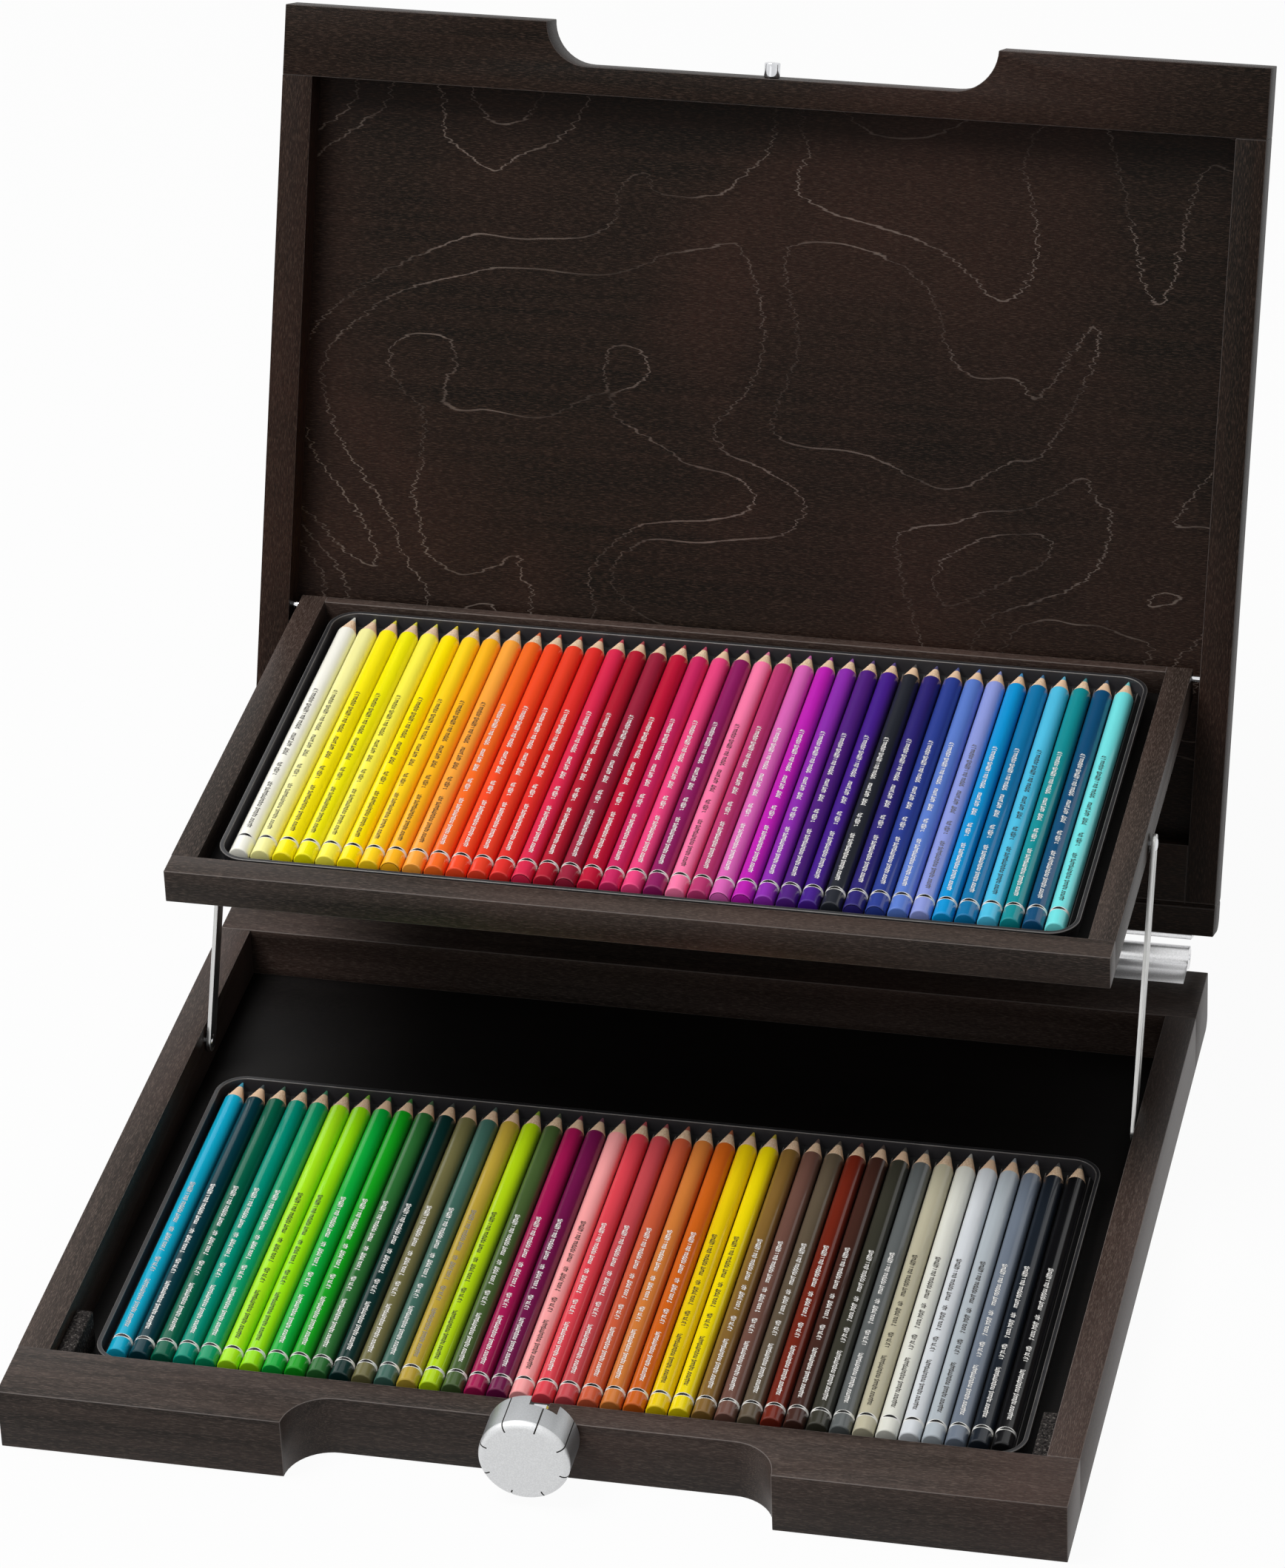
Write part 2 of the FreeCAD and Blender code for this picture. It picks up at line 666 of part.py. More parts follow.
def make_tray():
    """Make the tray's four rails and its floor, at the open place."""
    height = ("tray_bottom", "tray_top")
    front = box(("-tray_half", "tray_half"), ("tray_front_y", "tray_front_y + tray_front"), height)
    node("tray_front_rail", cut(front, [tray_floor_tool()]))
    inner = "tray_half - tray_side"
    rear = box((f"-({inner})", inner), ("tray_rear_y - tray_rear", "tray_rear_y"), height)
    node("tray_rear_rail", rear)
    for word, side in SIDES.items():
        span = ("-tray_half", f"-({inner})") if side < 0 else (inner, "tray_half")
        plain = box(span, ("tray_front_y + tray_front", "tray_rear_y"), height)
        bore = rod("x", f"{side} * tray_half - pin_seat", f"{side} * tray_half + pin_seat",
                   ("pivot_y", "pivot_z"), "pin_radius + running_gap")
        seat = rod("x", f"{side} * tray_half - pin_seat", f"{side} * tray_half + pin_seat",
                   ("tray_pin_y", "tray_pin_z"), "pin_radius")
        node(f"tray_{word}_rail", cut(plain, [tray_floor_tool(), bore, seat]))
    node("tray_floor", tray_floor_tool())


# ---------------------------------------------------------------- tins, inserts and pencils

def tin(width, front, bottom):
    """Make a pressed tin with round corners and a thickened rim."""
    body = new_body()
    half = f"{width} / 2"
    wall = "rim_width - tin_sheet"
    shell = new_sketch(body, "XY_Plane", bottom)
    rounded_rectangle(shell, (f"-({half}) + {wall}", f"{half} - ({wall})"),
                      (f"{front} + {wall}", f"{front} + tin_depth - ({wall})"), f"tin_corner - ({wall})")
    pad(body, shell, "tin_height")
    rim = new_sketch(body, "XY_Plane", f"{bottom} + tin_height - rim_height")
    rounded_rectangle(rim, (f"-({half})", half), (front, f"{front} + tin_depth"), "tin_corner")
    pad(body, rim, "rim_height")
    hollow = new_sketch(body, "XY_Plane", f"{bottom} + tin_sheet")
    rounded_rectangle(hollow, (f"-({half}) + rim_width", f"{half} - rim_width"),
                      (f"{front} + rim_width", f"{front} + tin_depth - rim_width"), "tin_corner - rim_width")
    pocket(body, hollow, "tin_height + 1")
    return body


def insert(count, width, front, bottom):
    """Make a moulded rack: a plate with a ridge on each side of every pencil."""
    body = new_body()
    half = f"{width} / 2 - rim_width - insert_gap"
    low = f"{front} + rim_width + insert_gap"
    high = f"{front} + tin_depth - rim_width - insert_gap"
    sheet = new_sketch(body, "XY_Plane", f"{bottom} + tin_sheet")
    rounded_rectangle(sheet, (f"-({half})", half), (low, high), "tin_corner - rim_width - insert_gap")
    pad(body, sheet, "insert_thickness")
    top = f"{bottom} + tin_sheet + insert_thickness"
    ridge = new_sketch(body, "XZ_Plane", f"-({low})")
    first = f"-({count}) / 2 * pencil_pitch"
    outline(ridge, [(f"{first} - ridge_foot / 2", top), (f"{first} + ridge_foot / 2", top),
                    (first, f"{top} + ridge_height")])
    line = pad(body, ridge, f"({high}) - ({low}) - ridge_tip_gap")
    line.Reversed = True
    pattern = body.newObject("PartDesign::LinearPattern", "ridges")
    pattern.Originals = [line]
    pattern.Direction = (ridge, ["H_Axis"])
    bind(pattern, Length=f"{count} * pencil_pitch", Occurrences=f"{count} + 1")
    body.Tip = pattern
    return body


def pencil_solid():
    """Make one pencil along +Y: a round barrel in twelve flats, sharpened by as many flat cuts."""
    body = new_body()
    sides = int(value("pencil_sides"))
    step = 360 / sides
    corner = f"pencil_width / 2 / cos({step / 2})"
    barrel = new_sketch(body, "XZ_Plane")
    angles = [step * (place + 0.5) for place in range(sides)]
    outline(barrel, [(f"{corner} * cos({angle})", f"{corner} * sin({angle})") for angle in angles])
    pad(body, barrel, "pencil_length").Reversed = True
    shaving = new_sketch(body, "YZ_Plane")
    outline(shaving, [("pencil_length", "0"), ("pencil_length", "pencil_width"),
                      ("pencil_length - 2 * cone_length", "pencil_width")])
    side = pocket(body, shaving, "2 * pencil_width", both_ways=True)
    point = body.newObject("PartDesign::PolarPattern", "point")
    point.Originals = [side]
    point.Axis = (barrel, ["N_Axis"])
    point.Angle = 360
    point.Occurrences = sides
    body.Tip = point
    doc.recompute()
    return body.Shape


UPPER_RUNS = {"yellow": 7, "orange": 6, "red": 5, "pink": 6, "violet": 6, "blue": 8}
LOWER_RUNS = {"green": 9, "olive": 7, "rose": 6, "gold": 5, "brown": 6, "grey": 7}


def make_pencils(tray, runs, count, butt_y, axis_z):
    """Lay a row of pencils in their slots, as one sub-part for each run of like colours."""
    shape = pencil_solid()
    pitch = value("pencil_pitch")
    first = -(value(count) - 1) / 2 * pitch
    place = 0
    for word, amount in runs.items():
        copies = []
        for _ in range(int(amount)):
            copy = shape.copy()
            copy.translate(Vector(first + place * pitch, 0, 0))
            copies.append(copy)
            place += 1
        run = doc.addObject("Part::Feature", "pencils")
        run.Shape = Part.makeCompound(copies)
        bind(run, Placement__Base__y=butt_y, Placement__Base__z=axis_z)
        node(f"{tray}_pencils_{word}", run)


def make_contents():
    """Make both tins with their inserts and pencils."""
    trays = {
        "lower": ("lower_count", "lower_tin_width", "lower_tin_front", "floor_board", LOWER_RUNS),
        "upper": ("upper_count", "upper_tin_width", "upper_tin_front", "upper_tin_z", UPPER_RUNS),
    }
    for word, (count, width, front, bottom, runs) in trays.items():
        node(f"{word}_tin", tin(width, front, bottom))
        node(f"{word}_insert", insert(count, width, front, bottom))
        make_pencils(word, runs, count, f"{front} + rim_width + butt_gap",
                     f"{bottom} + tin_sheet + insert_thickness + pencil_width / 2")


# ---------------------------------------------------------------- latch

def make_latch():
    """Make the rotary latch: a cup on a shaft, whose notched rim takes the lid's pin."""
    body = new_body()
    section = new_sketch(body, "XZ_Plane")
    outline(section,
            [("shaft_radius", "-knob_rim_gap"), ("hub_radius", "-knob_rim_gap"),
             ("hub_radius", "knob_length - knob_face"),
             ("cup_radius", "knob_length - knob_face"), ("cup_radius", "0"), ("knob_radius", "0"),
             ("knob_radius", "knob_length - knob_shoulder"), ("knob_radius - knob_shoulder", "knob_length"),
             ("0", "knob_length"), ("0", "shaft_seat"), ("shaft_radius", "shaft_seat")])
    turned = body.newObject("PartDesign::Revolution", "cup")
    turned.Profile = section
    turned.ReferenceAxis = (section, ["V_Axis"])
    doc.recompute()
    notch = new_sketch(body, "XY_Plane")
    outline(notch, [("-notch_width / 2", "cup_radius - knob_wall"), ("notch_width / 2", "cup_radius - knob_wall"),
                    ("notch_width / 2", "knob_radius + 1"), ("-notch_width / 2", "knob_radius + 1")])
    pocket(body, notch, "notch_depth")
    body.Placement = FreeCAD.Placement(
        Vector(0, 0, 0), FreeCAD.Rotation(Vector(0, 1, 0), value("notch_angle")) * FreeCAD.Rotation(Vector(1, 0, 0), 90))
    bind(body, Placement__Base__y="knob_rear", Placement__Base__z="knob_z")
    node("latch_knob", body)
    node("latch_shaft", rod("y", "knob_rear - shaft_seat", "inner_front", ("0", "knob_z"), "shaft_radius"))
    nut = doc.addObject("Part::Prism", "nut")
    nut.Polygon = 6
    nut.Placement = FreeCAD.Placement(Vector(0, 0, 0), AXIS_TURN["y"])
    bind(nut, Circumradius="nut_flats / 2 / cos(30)", Height="nut_thickness",
         Placement__Base__y="inner_front - nut_pocket_depth", Placement__Base__z="knob_z")
    thread = rod("y", "inner_front - nut_pocket_depth - 1", "inner_front + 1", ("0", "knob_z"), "shaft_radius")
    node("latch_nut", cut(nut, [thread]))
    tip = "recess_y - latch_pin_reach"
    centre = ("0", "latch_pin_z")
    pin = fuse([rod("y", "recess_y", "recess_y + latch_pin_seat", centre, "latch_pin_neck"),
                rod("y", tip, "recess_y", centre, "latch_pin_radius")])
    node("latch_pin", swing_open(pin))


def check(things):
    """Stop with a plain message if any object failed or any sub-part's shape is unsound."""
    for thing in doc.Objects:
        if "Invalid" in thing.State or "Error" in thing.State:
            raise RuntimeError(f"{thing.Name} ({thing.Label}) failed: {thing.State}")
    for thing in things:
        if thing.Shape.isNull() or not thing.Shape.isValid() or thing.Shape.Volume <= 0:
            raise RuntimeError(f"{thing.Label} has no sound shape")


make_base()
make_lid()
make_hinge()
make_linkage()
make_tray()
make_contents()
make_latch()
doc.recompute()
check(nodes)
os.makedirs("parts", exist_ok=True)
for thing in nodes:
    thing.Shape.exportStep(os.path.join("parts", thing.Label + ".step"))
print(f"{len(nodes)} sub-parts written")
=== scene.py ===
"""Looks of a hinged wooden pencil case that stands open, with a lift-up tray and two rows of pencils.

Each sub-assembly is a class that holds its sizes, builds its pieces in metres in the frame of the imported
model, and gives them procedural finishes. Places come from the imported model's own boxes.
"""

import logging
import math
from dataclasses import dataclass, field
from enum import Enum

import bmesh
import bpy
from mathutils import Matrix, Vector

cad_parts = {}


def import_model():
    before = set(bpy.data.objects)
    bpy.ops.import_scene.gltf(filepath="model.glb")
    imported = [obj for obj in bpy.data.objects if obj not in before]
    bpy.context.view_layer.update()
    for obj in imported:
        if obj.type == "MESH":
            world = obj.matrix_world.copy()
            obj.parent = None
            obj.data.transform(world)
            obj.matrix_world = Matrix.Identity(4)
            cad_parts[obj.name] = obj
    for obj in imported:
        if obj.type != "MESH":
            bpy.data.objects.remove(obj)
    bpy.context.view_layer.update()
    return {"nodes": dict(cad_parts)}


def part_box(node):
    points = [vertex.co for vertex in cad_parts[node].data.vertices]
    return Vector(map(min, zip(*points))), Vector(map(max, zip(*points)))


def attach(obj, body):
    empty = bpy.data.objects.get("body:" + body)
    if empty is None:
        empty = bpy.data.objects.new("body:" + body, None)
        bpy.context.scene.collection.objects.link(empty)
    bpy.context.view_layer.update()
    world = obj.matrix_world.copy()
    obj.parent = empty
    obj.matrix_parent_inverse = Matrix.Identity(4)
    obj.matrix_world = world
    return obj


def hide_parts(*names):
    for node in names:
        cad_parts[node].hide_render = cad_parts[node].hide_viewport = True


LOG = logging.getLogger("pencil_case")
MM = 0.001
OPEN_ANGLE = math.radians(113.0)
NOTCH_FACES = 6

Colour = tuple[float, float, float, float]
Socket = bpy.types.NodeSocket


def srgb(code: str) -> Colour:
    """Turn a hexadecimal screen colour into the linear one that shaders use.

    Args:
        code: six hexadecimal digits.

    Returns:
        Red, green, blue and alpha from 0 to 1.
    """
    channels = [int(code[place:place + 2], 16) / 255 for place in (0, 2, 4)]
    linear = [c / 12.92 if c <= 0.04045 else ((c + 0.055) / 1.055) ** 2.4 for c in channels]
    return (linear[0], linear[1], linear[2], 1.0)


class Grain(Enum):
    """The direction of a board's fibres while the case is closed."""

    ACROSS = "across"
    DEEP = "deep"


class Side(Enum):
    """The two sides of the case, valued by the sign of their x."""

    LEFT = -1
    RIGHT = 1


# ---------------------------------------------------------------- finishes

class ShaderGraph:
    """A material's node tree, with short calls for the nodes that the finishes share."""

    def __init__(self, name: str) -> None:
        """Start an empty material.

        Args:
            name: the material's name.
        """
        self.material = bpy.data.materials.new(name)
        self.material.use_nodes = True
        self.tree = self.material.node_tree
        self.tree.nodes.clear()

    def add(self, kind: str, **inputs: object) -> bpy.types.Node:
        """Add a node and fill its inputs.

        Args:
            kind: the node's type, without its ShaderNode prefix.
            inputs: values or sockets for the inputs, with underscores for spaces.

        Returns:
            The new node.
        """
        node = self.tree.nodes.new("ShaderNode" + kind)
        for label, content in inputs.items():
            self.feed(node.inputs[label.replace("_", " ")], content)
        return node

    def feed(self, socket: Socket, content: object) -> None:
        """Link a socket to another one, or set its value.

        Args:
            socket: the input to feed.
            content: an output socket, or a plain value.
        """
        if isinstance(content, bpy.types.NodeSocket):
            self.tree.links.new(content, socket)
        else:
            socket.default_value = content

    def place(self, turn: float = 0.0, stretch: tuple[float, float, float] = (1, 1, 1)) -> Socket:
        """Give object coordinates, turned about X and then stretched.

        Args:
            turn: angle in radians.
            stretch: factor along each axis after the turn.

        Returns:
            The vector socket.
        """
        coordinates = self.add("TexCoord").outputs["Object"]
        turned = self.add("Mapping", Vector=coordinates, Rotation=(turn, 0.0, 0.0))
        return self.add("Mapping", Vector=turned.outputs[0], Scale=stretch).outputs[0]

    def math(self, kind: str, first: object, second: object = 0.0, clamp: bool = False) -> Socket:
        """Work out a number.

        Args:
            kind: the operation's name.
            first: the first number or socket.
            second: the second number or socket.
            clamp: hold the result between 0 and 1.

        Returns:
            The result's socket.
        """
        node = self.tree.nodes.new("ShaderNodeMath")
        node.operation = kind
        node.use_clamp = clamp
        self.feed(node.inputs[0], first)
        self.feed(node.inputs[1], second)
        return node.outputs[0]

    def scaled(self, number: Socket, factor: object, offset: object) -> Socket:
        """Multiply a number and add to it.

        Args:
            number: the number.
            factor: what it is multiplied by.
            offset: what is added after that.

        Returns:
            The result's socket.
        """
        result = self.math("MULTIPLY_ADD", number, factor)
        self.feed(result.node.inputs[2], offset)
        return result

    def shift(self, vector: Socket, step: tuple[float, float, float]) -> Socket:
        """Add a fixed step to a vector.

        Args:
            vector: the vector.
            step: the step.

        Returns:
            The moved vector's socket.
        """
        node = self.add("VectorMath")
        self.feed(node.inputs[0], vector)
        node.inputs[1].default_value = step
        return node.outputs[0]

    def noise(self, vector: Socket, scale: float, detail: float = 2.0, distortion: float = 0.0) -> Socket:
        """Add noise between 0 and 1.

        Args:
            vector: where it is read.
            scale: its scale.
            detail: its detail.
            distortion: its distortion.

        Returns:
            The noise's socket.
        """
        return self.add("TexNoise", Vector=vector, Scale=scale, Detail=detail,
                        Distortion=distortion).outputs[0]

    def ramp(self, factor: Socket, low: float, high: float) -> Socket:
        """Stretch a number so that low becomes 0 and high becomes 1, smoothly.

        Args:
            factor: the number.
            low: the value that becomes 0.
            high: the value that becomes 1.

        Returns:
            The stretched number's socket.
        """
        node = self.tree.nodes.new("ShaderNodeMapRange")
        node.interpolation_type = "SMOOTHSTEP"
        for label, content in (("Value", factor), ("From Min", low), ("From Max", high)):
            self.feed(node.inputs[label], content)
        return node.outputs[0]

    def mix(self, factor: object, first: object, second: object, kind: str = "MIX") -> Socket:
        """Mix two colours.

        Args:
            factor: how much of the second.
            first: the first colour.
            second: the second colour.
            kind: the blend's name.

        Returns:
            The colour's socket.
        """
        node = self.tree.nodes.new("ShaderNodeMix")
        node.data_type = "RGBA"
        node.blend_type = kind
        self.feed(node.inputs[0], factor)
        self.feed(node.inputs[6], first)
        self.feed(node.inputs[7], second)
        return node.outputs[2]

    def bump(self, height: Socket, distance: float, strength: float = 1.0) -> Socket:
        """Turn a height into a normal.

        Args:
            height: the height from 0 to 1.
            distance: the depth in metres.
            strength: the strength.

        Returns:
            The normal's socket.
        """
        return self.add("Bump", Height=height, Distance=distance, Strength=strength).outputs[0]

    def surface(self, **inputs: object) -> bpy.types.Material:
        """Finish the material with a principled shader.

        Args:
            inputs: values or sockets of the shader, with underscores for spaces.

        Returns:
            The finished material.
        """
        shader = self.add("BsdfPrincipled", **inputs)
        output = self.add("OutputMaterial")
        self.tree.links.new(shader.outputs[0], output.inputs["Surface"])
        return self.material


@dataclass(frozen=True)
class WoodFinish:
    """Dark stained wood with fine fibres, pores, cloudy stain and, on boards, pale figure lines."""

    name: str
    grain: Grain
    turn: float = 0.0
    dark: str = "1E1814"
    mid: str = "3A302B"
    pale: str = "6C5E56"
    # lift: share of a pale colour mixed in, a painted highlight on softened edges
    cloud: str = "4A3731"
    lift: float = 0.0
    figure: float = 0.0
    figure_scale: float = 7.0
    figure_seed: float = 0.83
    figure_jitter: float = 0.009
    figure_levels: tuple[float, ...] = (0.44, 0.50, 0.56)
    figure_line: tuple[float, float] = (0.10 * MM, 0.40 * MM)
    figure_step: float = 1.0 * MM
    figure_flat: float = 1.2
    shine: float = 0.17

    def make(self) -> bpy.types.Material:
        """Make the material.

        Returns:
            The material.
        """
        graph = ShaderGraph(self.name)
        fibres = graph.noise(self.along_grain(graph, 360.0, 3300.0), 1.0, 2.0, 0.5)
        pores = graph.noise(self.along_grain(graph, 600.0, 5200.0), 1.0, 1.0)
        streaks = graph.noise(self.along_grain(graph, 6.0, 190.0), 1.0, 4.0, 0.5)
        clouds = graph.noise(graph.place(self.turn), 13.0, 3.0, 0.6)
        stain = graph.ramp(graph.noise(graph.place(self.turn), 6.5, 2.0), 0.44, 0.66)
        base = graph.mix(graph.ramp(streaks, 0.30, 0.70), srgb(self.dark), srgb(self.mid))
        base = graph.mix(graph.math("MULTIPLY", stain, 0.55), base, srgb(self.cloud))
        base = graph.mix(graph.math("MULTIPLY", graph.ramp(clouds, 0.40, 0.72), 0.35), base, srgb(self.dark))
        dashes = graph.math("MULTIPLY", graph.ramp(fibres, 0.46, 0.68), 0.42)
        colour = graph.mix(dashes, base, srgb(self.pale))
        pits = graph.math("MULTIPLY", graph.ramp(pores, 0.52, 0.64), 0.58)
        colour = graph.mix(pits, colour, srgb(self.dark))
        if self.figure:
            colour = graph.mix(self.figure_lines(graph), colour, srgb("9C8C82"))
        # Painted highlight: lift mixes a pale colour into the copies of the wood that the softened edges
        # wear.
        if self.lift:
            colour = graph.mix(self.lift, colour, srgb("A39A96"))
        height = graph.math("SUBTRACT", fibres, graph.math("MULTIPLY", pores, 0.7))
        roughness = graph.scaled(fibres, 0.14, 0.38)
        return graph.surface(Base_Color=colour, Roughness=roughness, Specular_IOR_Level=self.shine,
                             Normal=graph.bump(height, 0.00008, 0.5))

    def along_grain(self, graph: ShaderGraph, along: float, across: float) -> Socket:
        """Give coordinates stretched so that noise runs in fibres.

        Args:
            graph: the material's tree.
            along: cells for each metre along the fibres.
            across: cells for each metre across them.

        Returns:
            The vector socket.
        """
        scale = (along, across, across) if self.grain is Grain.ACROSS else (across, along, across)
        return graph.place(self.turn, scale)

    def figure_lines(self, graph: ShaderGraph) -> Socket:
        """Draw the thin wandering lines of the board's veneer, as contours of a slow, roughened noise.

        Args:
            graph: the material's tree.

        Returns:
            The lines' strength.
        """
        flat = graph.place(self.turn)
        parts = graph.add("SeparateXYZ", Vector=flat)
        rough = graph.math("SUBTRACT", graph.noise(self.along_grain(graph, 90.0, 700.0), 1.0, 3.0), 0.5)
        jagged = graph.scaled(rough, self.figure_jitter, parts.outputs[0])
        board = graph.add("CombineXYZ", X=jagged, Y=parts.outputs[1], Z=self.figure_seed).outputs[0]
        height = graph.noise(board, self.figure_scale, 1.5, 0.6)
        squares = []
        for step in ((self.figure_step, 0.0, 0.0), (0.0, self.figure_step, 0.0)):
            beside = graph.noise(graph.shift(board, step), self.figure_scale, 1.5, 0.6)
            rise = graph.math("SUBTRACT", beside, height)
            squares.append(graph.math("MULTIPLY", rise, rise))
        slope = graph.math("SQRT", graph.math("ADD", squares[0], squares[1]))
        slope = graph.math("MAXIMUM", graph.math("DIVIDE", slope, self.figure_step), self.figure_flat)
        strongest = None
        for level in self.figure_levels:
            gap = graph.math("ABSOLUTE", graph.math("SUBTRACT", height, level))
            distance = graph.math("DIVIDE", gap, slope)
            drawn = graph.math("SUBTRACT", 1.0, graph.ramp(distance, *self.figure_line))
            strongest = drawn if strongest is None else graph.math("MAXIMUM", strongest, drawn)
        fade = graph.ramp(graph.noise(flat, 26.0, 3.0), 0.34, 0.66)
        fade = graph.math("ADD", graph.math("MULTIPLY", fade, 0.8), 0.2)
        return graph.math("MULTIPLY", graph.math("MULTIPLY", strongest, fade), self.figure)


@dataclass(frozen=True)
class MetalFinish:
    """Bare metal, brushed along one axis or blasted evenly."""

    name: str
    colour: str
    roughness: float
    brushing: tuple[float, float, float] = (900.0, 900.0, 900.0)
    depth: float = 0.00002
    anisotropy: float = 0.0
    metal: float = 1.0

    def make(self) -> bpy.types.Material:
        """Make the material.

        Returns:
            The material.
        """
        graph = ShaderGraph(self.name)
        grain = graph.noise(graph.place(0.0, self.brushing), 1.0, 4.0)
        smears = graph.noise(graph.place(), 45.0, 3.0)
        base = srgb(self.colour)
        dull = tuple(channel * 0.86 for channel in base[:3]) + (1.0,)
        colour = graph.mix(graph.ramp(grain, 0.35, 0.7), dull, base)
        spread = graph.scaled(smears, 0.14, self.roughness - 0.07)
        return graph.surface(Base_Color=colour, Metallic=self.metal, Roughness=spread,
                             Anisotropic=self.anisotropy, Normal=graph.bump(grain, self.depth, 0.5))


@dataclass(frozen=True)
class PaintFinish:
    """Satin black paint or moulded plastic with a fine orange-peel surface."""

    name: str
    colour: str
    rub: str
    roughness: float
    grain: float
    depth: float

    def make(self) -> bpy.types.Material:
        """Make the material.

        Returns:
            The material.
        """
        graph = ShaderGraph(self.name)
        peel = graph.noise(graph.place(), self.grain, 3.0)
        rubs = graph.ramp(graph.noise(graph.place(), 60.0, 4.0), 0.50, 0.80)
        colour = graph.mix(rubs, srgb(self.colour), srgb(self.rub))
        spread = graph.scaled(peel, 0.18, self.roughness - 0.09)
        return graph.surface(Base_Color=colour, Roughness=spread, Normal=graph.bump(peel, self.depth, 0.6))


@dataclass(frozen=True)
class FoamFinish:
    """Dark open foam with pale specks."""

    name: str

    def make(self) -> bpy.types.Material:
        """Make the material.

        Returns:
            The material.
        """
        graph = ShaderGraph(self.name)
        cells = graph.noise(graph.place(), 1300.0, 3.0)
        specks = graph.ramp(graph.noise(graph.place(), 900.0, 2.0), 0.56, 0.66)
        colour = graph.mix(graph.ramp(cells, 0.35, 0.7), srgb("141212"), srgb("3B3735"))
        colour = graph.mix(graph.math("MULTIPLY", specks, 0.4), colour, srgb("857F79"))
        return graph.surface(Base_Color=colour, Roughness=0.92, Specular_IOR_Level=0.1,
                             Normal=graph.bump(cells, 0.0004, 0.8))


